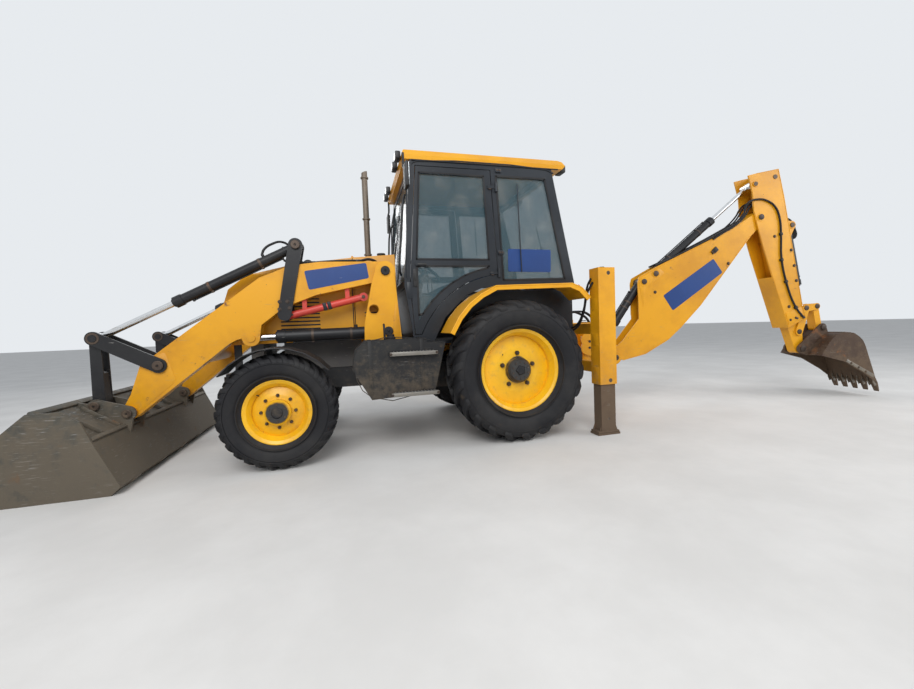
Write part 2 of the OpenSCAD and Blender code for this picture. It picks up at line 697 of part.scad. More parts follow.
// Red maintenance strut stowed under the left arm on two clips
module safety_strut() {
    p = [1420, 1455];
    q = [2110, 1290];
    color(red) machine() {
        difference() {
            along(p, q, arm_y + 10) union() {
                bar_x(0, norm(q - p), 34);
                rotate([90, 0, 0]) cylinder(r = 40, h = 60, center = true);
            }
            along(p, q, arm_y + 10) bar_x(60, norm(q - p) + 10, 26);
        }
        slab(arm_y - 10, arm_y + 30) {
            polygon([[1550, 1430], [1590, 1420], [1590, 1532.1], [1550, 1540.4]]);
            polygon([[1940, 1340], [1980, 1330], [1980, 1428.7], [1940, 1443.8]]);
        }
    }
}

// Lift cylinders
module lift_barrels() {
    color(black) machine() for (s = [-1, 1])
        ram_barrel(lift_base, lift_eye, s * arm_y, 1010, 55, 32, 54, pin_r);
}
module lift_rods() {
    color(chrome) machine() for (s = [-1, 1])
        ram_rod(lift_base, lift_eye, s * arm_y, 330, 32, 52, eye_half);
}
// Bucket cylinders above the arms
module crowd_barrels() {
    color(black) machine() for (s = [-1, 1])
        ram_barrel(crowd_base, rocker_end, s * arm_y, 1130, 43, 26, 54, pin_r);
}
module crowd_rods() {
    color(chrome) machine() for (s = [-1, 1])
        ram_rod(crowd_base, rocker_end, s * arm_y, 360, 26, 48, eye_half);
}
// Rockers: a pair of plates each side of an arm on one pin
module bucket_rockers() {
    color(black) machine() both() {
        for (s = [-1, 1]) translate([0, arm_y + s * (rocker_in + ear_t / 2), 0])
            slab(-ear_t / 2, ear_t / 2) link2d(rocker_pivot, rocker_end, 62, 56);
        for (s = [-1, 1]) pin_y(rocker_end, arm_y + (s > 0 ? rocker_out : -rocker_out - 8),
                                arm_y + (s > 0 ? rocker_out + 8 : -rocker_out), 30);
        pin_y(rocker_pivot, arm_y - rocker_out - 8, arm_y + rocker_out + 8, pin_r);
    }
}
// Links from the rockers down to the bucket, forked round the rod's eye
module bucket_links() {
    mid = link_pin + (rocker_end - link_pin) * 0.45;
    color(black) machine() both() {
        difference() {
            union() {
                for (s = [-1, 1]) translate([0, arm_y + s * (fork_in + fork_out) / 2, 0])
                    slab(-(fork_out - fork_in) / 2, (fork_out - fork_in) / 2) link2d(link_pin, rocker_end, 46, 40);
                slab(arm_y - fork_in, arm_y + fork_in) link2d(link_pin, mid, 46, 38);
                pin_y(link_pin, arm_y - ear_in + 0.4, arm_y + ear_in - 0.4, 42);
                pin_y(rocker_end, arm_y + fork_out - 1, arm_y + rocker_in - 0.4, 36);
                pin_y(rocker_end, arm_y - rocker_in + 0.4, arm_y - fork_out + 1, 36);
            }
            pin_y(link_pin, arm_y - 200, arm_y + 200, pin_r + pin_fit);
        }
    }
}
// Loader bucket: wrapper of floor, sloped back and upper wall, side plates, ears and ribs
b_tip = [4090, 0];
b_heel = [3230, 0];
b_back = [3385, 395];
b_lip = [3760, 640];
module bucket_side2d() {
    polygon([b_tip, [b_heel[0] + 70, 0], [b_heel[0] + 5, 60], b_back, [3450, 560], [3560, 640], b_lip,
             [3905, 515], [4090, 70]]);
}
module bucket_wrap2d() {
    polygon([b_tip, [b_heel[0] + 70, 0], [b_heel[0] + 5, 60], b_back, b_lip, b_lip + [18, -12],
             b_back + [22, -16], [b_heel[0] + 28, 66], [b_heel[0] + 82, bucket_t], [4010, bucket_t],
             [4010, 26], [4060, 26]]);
}
module ear2d() {
    difference() {
        union() {
            link2d(bucket_pin, link_pin, 58, 52);
            polygon([b_back + [-12, -60], bucket_pin + [-40, -20], link_pin, b_lip + [-30, 0], b_lip + [-30, -30]]);
        }
        polygon([b_back, b_lip, b_lip + [200, -400], b_back + [100, -400]]);
        for (p = [bucket_pin, link_pin]) translate(p) circle(r = pin_r - 3);
    }
}
module loader_bucket() {
    color(dirty_steel) machine() {
        slab(-bucket_half_w + bucket_t, bucket_half_w - bucket_t) bucket_wrap2d();
        both() slab(bucket_half_w - bucket_t, bucket_half_w) bucket_side2d();
        both() for (s = [-1, 1]) translate([0, arm_y + s * (ear_in + ear_out) / 2, 0])
            slab(-(ear_out - ear_in) / 2, (ear_out - ear_in) / 2) ear2d();
        both() for (p = [bucket_pin, link_pin])
            pin_y(p, arm_y - ear_out - 8, arm_y + ear_out + 8, pin_r);
    }
}

// Rear frame: upper and lower side-shift rails, end plates and the legs' housings
rail_back = housing_x;
module rear_frame() {
    yo = frame_half_w;
    yi = frame_half_w - housing_w;
    color(yellow) machine() {
        for (z = [600, 1000]) translate([rail_back, -yi, z]) cube([90, 2 * yi, 110]);
        both() translate([rail_back, yi - 30, 560]) cube([150, 30, 640]);
        both() translate([rail_back + 90, 300, 620]) cube([20, 60, 480]);
        both() translate([housing_x, yi, 505]) difference() {
            cube([housing_l, housing_w, 1145]);
            translate([housing_t, housing_t, -1]) cube([housing_l - 2 * housing_t, housing_w - 2 * housing_t, 1145 - 20]);
        }
    }
}
leg_play = 0.8;
module leg() {
    yi = frame_half_w - housing_w;
    machine() {
        translate([housing_x + housing_t + leg_play, yi + housing_t + leg_play, 20])
            cube([housing_l - 2 * (housing_t + leg_play), housing_w - 2 * (housing_t + leg_play), 1190]);
        translate([housing_x - 30, yi + 4, 0]) cube([housing_l + 60, housing_w - 8, 20]);
    }
}
module left_leg() { color(rust) leg(); }
module right_leg() { color(rust) mirror([0, 1, 0]) leg(); }

// Carriage: plate on the rails with clamps and the two lugs of the slewing pins
lug_z = [560, 1050];
lug_t = 70;
slew_pin_r = 40;
module carriage() {
    back = rail_back;
    color(yellow) machine() {
        difference() {
            union() {
                translate([back - 64, -290, 540]) cube([63.6, 580, 620]);
                for (z = lug_z) {
                    translate([slew_x, -100, z]) cube([back - 60 - slew_x, 200, lug_t]);
                    translate([slew_x, 0, z]) cylinder(r = 100, h = lug_t);
                }
            }
            translate([slew_x, 0, 400]) cylinder(r = slew_pin_r + pin_fit, h = 900);
        }
        for (z = [583.6, 1110.4]) both() translate([back - 5, 120, z]) cube([60, 120, 16]);
    }
}
// Swing post: upright between the lugs, with forks for the boom and its cylinder
post_in = boom_half_w + 6;
module swing_post() {
    color(yellow) backhoe() {
        cylinder_z0 = lug_z[0] + lug_t + 0.5;
        difference() {
            union() {
                translate([0, 0, cylinder_z0]) cylinder(r = 105, h = lug_z[1] - 0.5 - cylinder_z0);
                both() slab(post_in, post_in + 24) union() {
                    link2d([0, 800], boom_foot, 90, 75);
                    link2d([0, 900], boom_ram_base, 90, 60);
                }
                translate([-60, -post_in - 10, 720]) cube([90, 2 * post_in + 20, 240]);
            }
            translate([boom_foot[0], 0, boom_foot[1]]) rotate([90, 0, 0]) cylinder(r = 130, h = 2 * post_in, center = true);
        }
        translate([0, 0, lug_z[0] - 10]) cylinder(r = slew_pin_r, h = lug_z[1] + lug_t + 20 - lug_z[0]);
        pin_y(boom_foot, -post_in - 34, post_in + 34, dig_pin_r);
    }
}
// Boom: two side plates with closing plates below and on top
module boom2d() {
    union() {
        polygon([[0, 92], [220, 84], [570, 145], [865, 500], [925, 540], [1180, 480], [1960, 240], [2470, 108],
                 [boom_len, 83], [boom_len, -83], [2400, -100], [1304, -300], [900, -330], [678, -330],
                 [330, -255], [60, -110]]);
        circle(r = 92);
        translate([boom_len, 0]) circle(r = 84);
    }
}
module boom() {
    t = 14;
    color(yellow) boom_frame() {
        difference() {
            union() {
                slab(-boom_half_w, boom_half_w) boom2d();
                pin_y([0, 0], -post_in + 0.4, post_in - 0.4, 60);
                pin_y([boom_len, 0], -dip_in + 0.4, dip_in - 0.4, 60);
            }
            slab(-boom_half_w + t, boom_half_w - t)
                polygon([[130, 400], [130, -128], [335, -240], [680, -315], [898, -315], [1300, -285], [2380, -88],
                         [2440, -60], [2440, 60], [2400, 112], [1960, 226], [1790, 279], [1790, 800], [700, 800]]);
            for (p = [[0, 0], [boom_len, 0]]) pin_y(p, -200, 200, dig_pin_r + pin_fit);
        }
        for (p = [boom_ram_eye, dipper_ram_base]) pin_y(p, -boom_half_w - 10, boom_half_w + 10, dig_pin_r);
    }
}
module boom_barrel() {
    color(black) backhoe() ram_barrel(on_boom(boom_ram_eye), boom_ram_base, 0, 640, 50, 30, 70, dig_pin_r);
}
module boom_rod() {
    color(chrome) backhoe() ram_rod(on_boom(boom_ram_eye), boom_ram_base, 0, 240, 30, 48, 70);
}
module dipper_barrel() {
    color(black) backhoe()
        ram_barrel(on_boom(dipper_ram_base), on_dipper(dipper_ram_eye), 0, 1080, 48, 28, 70, dig_pin_r);
}
module dipper_rod() {
    color(chrome) backhoe()
        ram_rod(on_boom(dipper_ram_base), on_dipper(dipper_ram_eye), 0, 650, 28, 46, 78);
}
// Dipper: two side plates, front closing plate and head, open behind for the inner dipper
dip_in = boom_half_w + 8;
dip_out = dip_in + 14;
module dipper2d() {
    polygon([[-560, 10], [-548, 130], [-500, 440], [-140, 398], [1290, 178], [1470, 168], [1500, -110],
             [420, -98], [90, -84], [-120, -64], [-330, -8]]);
}
module dipper() {
    color(yellow) dipper_frame() {
        both() slab(dip_in, dip_out) dipper2d();
        slab(-dip_in, dip_in) polygon([[790, -102], [1500, -110], [1500, -94], [790, -86]]);
        slab(-dip_in, dip_in) polygon([[-532, 235], [-500, 440], [-486, 438], [-517, 235]]);
        slab(-dip_in, dip_in) polygon([[-500, 440], [-140, 398], [-142, 384], [-500, 426]]);
        pin_y([0, 0], -dip_out - 12, dip_out + 12, dig_pin_r);
        both() slab(84, dip_out + 12) translate(dipper_ram_eye) circle(r = 34);
        both() slab(inner_half + 0.4, dip_in) polygon([[1350, inner_w(1350) - 76], [1350, inner_w(1350) + 76],
                                                       [1480, inner_w(1480) + 70], [1480, inner_w(1480) - 76]]);
    }
}
// Inner dipper: slides in the dipper, carries the bucket cylinder's ears and the nose
inner_half = dip_in - 6;
module inner_dipper() {
    top_u = -380;
    low_u = 1500;
    half_d = inner_depth / 2;
    color(yellow) dipper_frame() {
        difference() {
            union() {
                slab(-inner_half, inner_half)
                    polygon([[top_u, inner_w(top_u) - half_d], [top_u, inner_w(top_u) + half_d],
                             [1250, inner_w(1250) + half_d], [low_u, 40], [low_u, inner_w(low_u) - half_d]]);
                both() slab(inner_half - 1, dip_in - 0.4)
                    polygon([[top_u, inner_w(top_u) - 76], [top_u, inner_w(top_u) + 76],
                             [top_u + 130, inner_w(top_u + 130) + 76], [top_u + 130, inner_w(top_u + 130) - 76]]);
                slab(-nose_half, nose_half) union() {
                    polygon([[low_u - 10, inner_w(low_u) - half_d], [low_u - 10, inner_w(low_u) + half_d],
                             lever_pivot + [20, 58], [dipper_len + 10, 60], [dipper_len, -60]]);
                    translate(lever_pivot) circle(r = 60);
                    translate(dig_pin) circle(r = 62);
                }
                both() slab(64, 80) union() {
                    polygon([[60, inner_w(60)], bucket_ram_base + [-55, 0], bucket_ram_base + [50, 20],
                             [620, inner_w(620)]]);
                    translate(bucket_ram_base) circle(r = 56);
                }
            }
            pin_y(lever_pivot, -200, 200, dig_pin_r + pin_fit);
            pin_y(dig_pin, -200, 200, dig_pin_r + 5 + pin_fit);
        }
        pin_y(bucket_ram_base, -90, 90, dig_pin_r);
    }
}
module bucket_barrel() {
    color(black) dipper_frame()
        ram_barrel(bucket_ram_base, lever_eye, 0, 800, 44, 26, 58, dig_pin_r);
}
module bucket_rod() {
    color(chrome) dipper_frame() ram_rod(bucket_ram_base, lever_eye, 0, 175, 26, 42, 56);
}
// Tipping levers: a curved plate each side of the nose, tied at the pins
module tipping_lever() {
    color(yellow) dipper_frame() {
        both() slab(lever_in, lever_out) {
            link2d(lever_pivot, lever_eye, 50, 48);
            link2d(lever_eye, lever_end, 48, 42);
        }
        pin_y(lever_pivot, -lever_out, lever_out, dig_pin_r);
        pin_y(lever_end, -lever_out, lever_out, dig_pin_r - 3);
    }
}
module tipping_link() {
    color(yellow) dipper_frame() difference() {
        union() {
            slab(-58, 58) link2d(lever_end, dig_link_pin, 40, 42);
            pin_y(lever_end, -lever_in + 0.4, lever_in - 0.4, 36);
        }
        pin_y(lever_end, -100, 100, dig_pin_r - 3 + pin_fit);
    }
}
// Digging bucket, about its pin: +X towards the teeth's tips, +Z towards its curved back
dig_c = [400, 165];
dig_r = 290;
dig_arc = [52, 175];
dig_t = 14;
module dig_frame() {
    dipper_frame() translate([dig_pin[0], 0, dig_pin[1]]) rotate([0, -tip_angle, 0]) children();
}
// Closed side outline, drawn in by g from the back, floor and top
module dig_side2d(g) {
    arc = [for (i = [0 : 12]) let(a = dig_arc[0] + (dig_arc[1] - dig_arc[0]) * i / 12)
           dig_c + (dig_r - g) * [cos(a), sin(a)]];
    polygon(concat(arc, [[dig_c[0] - dig_r + g - 4, -28], [430, 75], [760, 92],
                         dig_c + (dig_r - g) * [cos(dig_arc[0]), sin(dig_arc[0])]
                             + 512 * [sin(dig_arc[0]), -cos(dig_arc[0])]]));
}
module dig_ear2d() {
    difference() {
        union() {
            link2d([0, 0], dig_link_own, 66, 54);
            polygon([[0, -62], [dig_c[0] - dig_r + 6, -28], [dig_c[0] - dig_r + 4, 180], [200, 370],
                     dig_link_own + [30, 40], dig_link_own, [-20, 60]]);
        }
        dig_side2d(dig_t);
        polygon([[dig_c[0] - dig_r + dig_t, -100], [600, -100], [600, 200], [dig_c[0] - dig_r + dig_t, 200]]);
        circle(r = dig_pin_r + 3);
    }
}
module digging_bucket() {
    color(rust) dig_frame() {
        both() slab(dig_half_w - dig_t, dig_half_w) dig_side2d(0);
        slab(-dig_half_w + dig_t, dig_half_w - dig_t) difference() {
            dig_side2d(0);
            dig_side2d(dig_t);
            polygon([[dig_c[0] - dig_r + dig_t, -60], [dig_c[0] - dig_r + dig_t, 180], [430, 300], [760, 240],
                     [940, 90], [760, 50], [430, -60]]);
        }
        for (y = [-2 : 2]) translate([0, y * (dig_half_w - 40) / 2, 0]) slab(-30, 30)
            polygon([[tip_r, 4], [tip_r - 155, 92], [tip_r - 215, 146], [tip_r - 185, 152], [tip_r - 80, 92],
                     [tip_r - 6, 20]]);
        both() slab(dig_ear_in, dig_ear_out) dig_ear2d();
        pin_y([0, 0], -dig_ear_out - 10, dig_ear_out + 10, dig_pin_r + 5);
        both() pin_y(dig_link_own, 64, dig_ear_out + 10, 30);
    }
}

// Driver's seat and what stands round it
module seat() {
    color([0.16, 0.16, 0.17]) machine() translate([-20, 0, 0]) {
        translate([0, 0, floor_z + 300]) cylinder(r = 110, h = 90);
        translate([-240, -240, floor_z + 390]) cube([480, 480, 120]);
        translate([-290, -230, floor_z + 480]) rotate([0, -8, 0]) cube([110, 460, 560]);
    }
}
module controls() {
    color(black) machine() {
        translate([750, -110, floor_z]) cube([120, 220, 620]);
        translate([690, 0, 1790]) rotate([0, -35, 0]) {
            rotate_extrude($fn = 48) translate([185, 0]) circle(r = 16, $fn = 16);
            translate([-20, -185, -14]) cube([40, 370, 20]);
            translate([0, 0, -260]) cylinder(r = 32, h = 262);
        }
        translate([380, -640, floor_z]) cube([400, 180, 560]);
        translate([-770, -400, floor_z]) cube([180, 800, 380]);
        for (y = [-120, 120]) translate([-640, y, floor_z + 379]) cylinder(r = 12, h = 260);
        translate([560, -520, floor_z + 559]) cylinder(r = 12, h = 200);
    }
}

chassis();
engine_block();
axles();
loader_tower();
side_tanks();
rear_fenders();
cab_floor();
cab_frame();
cab_roof();
cab_glass();
lamps_and_mirrors();
exhaust_stack();
front_cowl();
seat();
controls();
rear_frame();
bonnet();
left_door();
right_door();
left_door_glass();
right_door_glass();
left_knuckle();
right_knuckle();
left_mudguard();
right_mudguard();
front_left_tyre();
front_right_tyre();
rear_left_tyre();
rear_right_tyre();
front_left_rim();
front_right_rim();
rear_left_rim();
rear_right_rim();
loader_arms();
crowd_brackets();
safety_strut();
lift_barrels();
lift_rods();
crowd_barrels();
crowd_rods();
bucket_rockers();
bucket_links();
loader_bucket();
left_leg();
right_leg();
carriage();
swing_post();
boom();
boom_barrel();
boom_rod();
dipper();
dipper_barrel();
dipper_rod();
inner_dipper();
bucket_barrel();
bucket_rod();
tipping_lever();
tipping_link();
digging_bucket();
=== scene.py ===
"""Backhoe loader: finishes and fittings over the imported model."""

import json
import logging
import math
from dataclasses import dataclass, field
from enum import Enum
from typing import Iterable, Protocol, Sequence

import bpy
from mathutils import Matrix, Vector


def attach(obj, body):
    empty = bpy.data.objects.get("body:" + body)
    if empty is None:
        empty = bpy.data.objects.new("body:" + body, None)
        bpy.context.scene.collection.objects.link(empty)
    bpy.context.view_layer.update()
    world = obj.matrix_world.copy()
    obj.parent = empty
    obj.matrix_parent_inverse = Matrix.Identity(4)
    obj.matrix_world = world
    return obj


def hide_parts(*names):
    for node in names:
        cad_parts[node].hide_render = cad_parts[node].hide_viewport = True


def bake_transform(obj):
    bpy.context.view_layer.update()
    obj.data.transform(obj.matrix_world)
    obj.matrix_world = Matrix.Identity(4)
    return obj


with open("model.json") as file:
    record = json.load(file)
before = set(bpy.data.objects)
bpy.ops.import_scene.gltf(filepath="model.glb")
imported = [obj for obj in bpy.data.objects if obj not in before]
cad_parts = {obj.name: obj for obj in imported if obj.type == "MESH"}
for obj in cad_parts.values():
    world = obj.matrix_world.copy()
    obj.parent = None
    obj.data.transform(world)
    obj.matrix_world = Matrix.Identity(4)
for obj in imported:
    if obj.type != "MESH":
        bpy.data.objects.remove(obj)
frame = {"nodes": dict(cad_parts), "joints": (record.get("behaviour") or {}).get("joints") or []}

LOG = logging.getLogger("backhoe_loader")
Point = tuple[float, float]
Place = Sequence[float]
Colour = tuple[float, float, float]
Socket = bpy.types.NodeSocket
Piece = bpy.types.Object
BOTH = (1, -1)
SIDES = ((1, "left"), (-1, "right"))
ARM_SIDES = (0.58, -0.58)
JOINTS = {joint["name"]: joint for joint in frame["joints"]}


class Finish(Protocol):
    """What every finish offers: a name and a way to make its material."""

    name: str

    def make(self) -> bpy.types.Material:
        """Builds the material."""


def joint_at(name: str) -> Vector:
    """Place of a joint's axis in metres."""
    return Vector(JOINTS[name]["pos_m"])


REAR_AXLE = joint_at("rear_left_roll")
FRONT_AXLE = joint_at("front_left_roll")
CHIP_COLOUR = (0.07, 0.045, 0.03)
RUST_COLOUR = (0.2, 0.085, 0.035)


@dataclass(frozen=True)
class Placing:
    """A local frame: along, side and up directions at an origin.

    Attributes:
        origin: Where local zero lies.
        along: Direction of local +X.
        up: Direction of local +Z.
    """

    origin: Vector
    along: Vector
    up: Vector

    def matrix(self) -> Matrix:
        """Matrix from local to machine coordinates.

        Returns:
            The matrix.
        """
        side = self.up.cross(self.along)
        turned = Matrix((self.along, side, self.up)).transposed()
        return Matrix.Translation(self.origin) @ turned.to_4x4()

    def point(self, u: float, v: float, w: float) -> Vector:
        """Machine coordinates of a local point."""
        return self.matrix() @ Vector((u, v, w))

    def turned(self, origin: Vector, along: Vector) -> "Placing":
        """The frame with the same side direction and a new along direction.

        Args:
            origin: New origin.
            along: New direction of local +X.

        Returns:
            The turned frame.
        """
        side = self.up.cross(self.along)
        ahead = along.normalized()
        return Placing(origin, ahead, ahead.cross(side))


MACHINE = Placing(Vector((REAR_AXLE.x, 0.0, 0.0)), Vector((1, 0, 0)), Vector((0, 0, 1)))
SLEW_SIDE = -Vector(JOINTS["boom_lift"]["axis"])
SLEW_ALONG = SLEW_SIDE.cross(Vector((0, 0, 1)))
SLEW = Placing(Vector((joint_at("slew").x, joint_at("slew").y, 0.0)), SLEW_ALONG, Vector((0, 0, 1)))
BOOM = SLEW.turned(joint_at("boom_lift"), joint_at("dipper_swing") - joint_at("boom_lift"))
DIPPER = SLEW.turned(joint_at("dipper_swing"), joint_at("dig_bucket_tilt") - joint_at("dipper_swing"))
DIG_BUCKET_TURN = 37.6
DIG_BUCKET = DIPPER.turned(
    joint_at("dig_bucket_tilt"), Matrix.Rotation(-math.radians(DIG_BUCKET_TURN), 3, SLEW_SIDE) @ DIPPER.along)


class Wear(Enum):
    """How hard a surface has been used."""

    CLEAN = 0.15
    DUSTY = 0.45
    MUDDY = 0.75


class Graph:
    """Builder of one material's node tree."""

    def __init__(self, name: str) -> None:
        """Starts an empty material.

        Args:
            name: The material's name.
        """
        self.material = bpy.data.materials.new(name)
        self.material.use_nodes = True
        self.tree = self.material.node_tree
        self.tree.nodes.clear()
        self.shader = self.add("ShaderNodeBsdfPrincipled")
        output = self.add("ShaderNodeOutputMaterial")
        self.link(self.shader.outputs[0], output.inputs[0])
        self.place = self.add("ShaderNodeTexCoord").outputs["Object"]

    def add(self, kind: str) -> bpy.types.Node:
        """Adds a node."""
        return self.tree.nodes.new(kind)

    def link(self, source: Socket, target: Socket) -> None:
        """Joins two sockets."""
        self.tree.links.new(source, target)

    def stretched(self, scale: Sequence[float], turn: Sequence[float] = (0, 0, 0)) -> Socket:
        """Object coordinates, stretched and turned.

        Args:
            scale: Factors along the three axes.
            turn: Turn in radians about the three axes.

        Returns:
            The vector's socket.
        """
        mapping = self.add("ShaderNodeMapping")
        mapping.inputs["Scale"].default_value = scale
        mapping.inputs["Rotation"].default_value = turn
        self.link(self.place, mapping.inputs["Vector"])
        return mapping.outputs[0]

    def noise(self, scale: float, detail: float = 4.0, at: Socket | None = None) -> Socket:
        """Cloudy noise from 0 to 1.

        Args:
            scale: Waves to a metre.
            detail: Octaves.
            at: Vector to read, or the object's own.

        Returns:
            The value's socket.
        """
        node = self.add("ShaderNodeTexNoise")
        node.inputs["Scale"].default_value = scale
        node.inputs["Detail"].default_value = detail
        node.inputs["Roughness"].default_value = 0.62
        self.link(at or self.place, node.inputs["Vector"])
        return node.outputs["Fac"]

    def ramp(self, value: Socket, low: float, high: float) -> Socket:
        """A value stretched so that low becomes 0 and high becomes 1.

        Args:
            value: Value to stretch.
            low: Value that becomes 0.
            high: Value that becomes 1.

        Returns:
            The value's socket.
        """
        node = self.add("ShaderNodeMapRange")
        node.interpolation_type = "SMOOTHSTEP"
        node.inputs["From Min"].default_value = low
        node.inputs["From Max"].default_value = high
        self.link(value, node.inputs["Value"])
        return node.outputs[0]

    def maths(self, kind: str, one: Socket, two: Socket | float) -> Socket:
        """Joins two values by a Math node.

        Args:
            kind: Name of the operation.
            one: First value.
            two: Second value, a socket or a number.

        Returns:
            The result's socket.
        """
        node = self.add("ShaderNodeMath")
        node.operation = kind
        self.link(one, node.inputs[0])
        if isinstance(two, (int, float)):
            node.inputs[1].default_value = two
        else:
            self.link(two, node.inputs[1])
        return node.outputs[0]

    def mix(self, share: Socket, under: Socket | Colour, over: Colour) -> Socket:
        """Lays one colour over another.

        Args:
            share: How much of the upper colour shows.
            under: Lower colour, or its socket.
            over: Upper colour.

        Returns:
            The colour's socket.
        """
        node = self.add("ShaderNodeMix")
        node.data_type = "RGBA"
        self.link(share, node.inputs["Factor"])
        if isinstance(under, tuple):
            node.inputs[6].default_value = (*under, 1)
        else:
            self.link(under, node.inputs[6])
        node.inputs[7].default_value = (*over, 1)
        return node.outputs[2]

    def height(self) -> Socket:
        """Height above the ground in metres.

        Returns:
            The bump's height socket.
        """
        split = self.add("ShaderNodeSeparateXYZ")
        self.link(self.place, split.inputs[0])
        return split.outputs[2]

    def bump(self, value: Socket, strength: float, distance: float) -> None:
        """Adds relief.

        Args:
            value: Height of the relief, from 0 to 1.
            strength: Share of the effect.
            distance: Height in metres.
        """
        node = self.add("ShaderNodeBump")
        node.inputs["Strength"].default_value = strength
        node.inputs["Distance"].default_value = distance
        self.link(value, node.inputs["Height"])
        self.link(node.outputs[0], self.shader.inputs["Normal"])


@dataclass(frozen=True)
class Weathered:
    """A painted or bare surface with patches, dirt, rust and scratches.

    Attributes:
        name: Name of the finish.
        base: Main colour.
        patch: Colour of its faded patches.
        dirt: Colour of the dirt on it.
        wear: How dirty it is.
        rust: Share of the surface that is rusty, from 0 to 1.
        metal: How metallic it is.
        rough: Roughness where it is clean.
        scratch: Colour of its scratches.
        scratched: Share of scratches, from 0 to 1.
        grain: Waves to a metre of the fine relief.
        relief: Height of the fine relief in metres.
        mud_top: Height in metres up to which splashes reach.
        gloss: Strength of its mirror-like reflection.
    """

    name: str
    base: Colour
    patch: Colour
    dirt: Colour = (0.23, 0.17, 0.11)
    wear: Wear = Wear.DUSTY
    rust: float = 0.1
    metal: float = 0.0
    rough: float = 0.4
    scratch: Colour = (0.5, 0.48, 0.45)
    scratched: float = 0.2
    grain: float = 60.0
    relief: float = 0.0006
    mud_top: float = 1.3
    gloss: float = 0.45

    def make(self) -> bpy.types.Material:
        """Builds the material.

        Returns:
            The material.
        """
        graph = Graph(self.name)
        broad = graph.noise(1.7, 5)
        fine = graph.noise(self.grain, 6)
        colour = graph.mix(graph.ramp(broad, 0.38, 0.66), self.base, self.patch)
        colour = self.marked(graph, colour)
        rust_share = graph.ramp(graph.noise(6.0, 9), 0.78 - 0.45 * self.rust, 0.85 - 0.4 * self.rust)
        colour = graph.mix(rust_share, colour, RUST_COLOUR)
        dirt_share = self.dirt_share(graph, broad)
        colour = graph.mix(dirt_share, colour, self.dirt)
        graph.link(colour, graph.shader.inputs["Base Color"])
        dull = graph.maths("ADD", graph.maths("MULTIPLY", dirt_share, 0.4), graph.maths("MULTIPLY", fine, 0.16))
        dull = graph.maths("ADD", graph.maths("MULTIPLY", rust_share, 0.25), dull)
        graph.link(graph.maths("ADD", dull, self.rough - 0.08), graph.shader.inputs["Roughness"])
        graph.shader.inputs["Specular IOR Level"].default_value = self.gloss
        if self.metal:
            shine = graph.maths("MULTIPLY", graph.ramp(dirt_share, 1.0, 0.0), self.metal)
            graph.link(shine, graph.shader.inputs["Metallic"])
        relief = graph.maths("ADD", graph.maths("MULTIPLY", dirt_share, 1.2), fine)
        graph.bump(relief, 0.5, self.relief)
        return graph.material

    def marked(self, graph: Graph, colour: Socket) -> Socket:
        """Colour with scratches, which gather in places, and chips.

        Args:
            graph: The material's node tree.
            colour: Colour's socket so far.

        Returns:
            The colour's socket.
        """
        rub = graph.noise(9.0, 3, graph.stretched((1.0, 1.4, 13.0), (0.5, 0.6, 0.2)))
        share = graph.ramp(rub, 0.7 - 0.16 * self.scratched, 0.8 - 0.12 * self.scratched)
        share = graph.maths("MULTIPLY", share, graph.ramp(graph.noise(3.1, 4), 0.42, 0.62))
        colour = graph.mix(share, colour, self.scratch)
        fewer = 0.08 * self.scratched
        chips = graph.ramp(graph.noise(34.0, 4), 0.74 - fewer, 0.78 - fewer)
        return graph.mix(chips, colour, CHIP_COLOUR)

    def dirt_share(self, graph: Graph, broad: Socket) -> Socket:
        """Share of dirt, which gathers in spots and low down.

        Args:
            graph: The material's node tree.
            broad: Socket of the broad noise.

        Returns:
            The share's socket.
        """
        spots = graph.noise(14.0, 7)
        low_down = graph.ramp(graph.height(), self.mud_top, 0.0)
        cover = graph.maths("ADD", graph.maths("MULTIPLY", low_down, 0.35), graph.maths("MULTIPLY", spots, 0.65))
        cover = graph.maths("ADD", cover, graph.maths("MULTIPLY", broad, 0.25))
        amount = self.wear.value
        share = graph.ramp(cover, 0.81 - 0.42 * amount, 1.08 - 0.42 * amount)
        return graph.maths("MULTIPLY", share, 0.35 + 0.6 * amount)


@dataclass(frozen=True)
class Rubber:
    """Tyre or hose rubber.

    Attributes:
        name: Name of the finish.
        base: Main colour.
        mud: Colour of the mud on it.
        muddy: Share of mud, from 0 to 1.
    """

    name: str
    base: Colour = (0.011, 0.011, 0.013)
    mud: Colour = (0.085, 0.062, 0.042)
    muddy: float = 0.3

    def make(self) -> bpy.types.Material:
        """Builds the material.

        Returns:
            The material.
        """
        graph = Graph(self.name)
        fine = graph.noise(90.0, 5)
        patches = graph.noise(7.0, 8)
        colour = graph.mix(graph.ramp(graph.noise(2.5, 4), 0.35, 0.7), self.base, (0.026, 0.025, 0.025))
        graph.shader.inputs["Specular IOR Level"].default_value = 0.25
        share = graph.ramp(patches, 0.74 - 0.32 * self.muddy, 0.9 - 0.25 * self.muddy)
        graph.link(graph.mix(share, colour, self.mud), graph.shader.inputs["Base Color"])
        graph.link(graph.maths("ADD", graph.maths("MULTIPLY", share, 0.25), 0.62), graph.shader.inputs["Roughness"])
        graph.bump(graph.maths("ADD", fine, graph.maths("MULTIPLY", share, 1.5)), 0.5, 0.0012)
        return graph.material


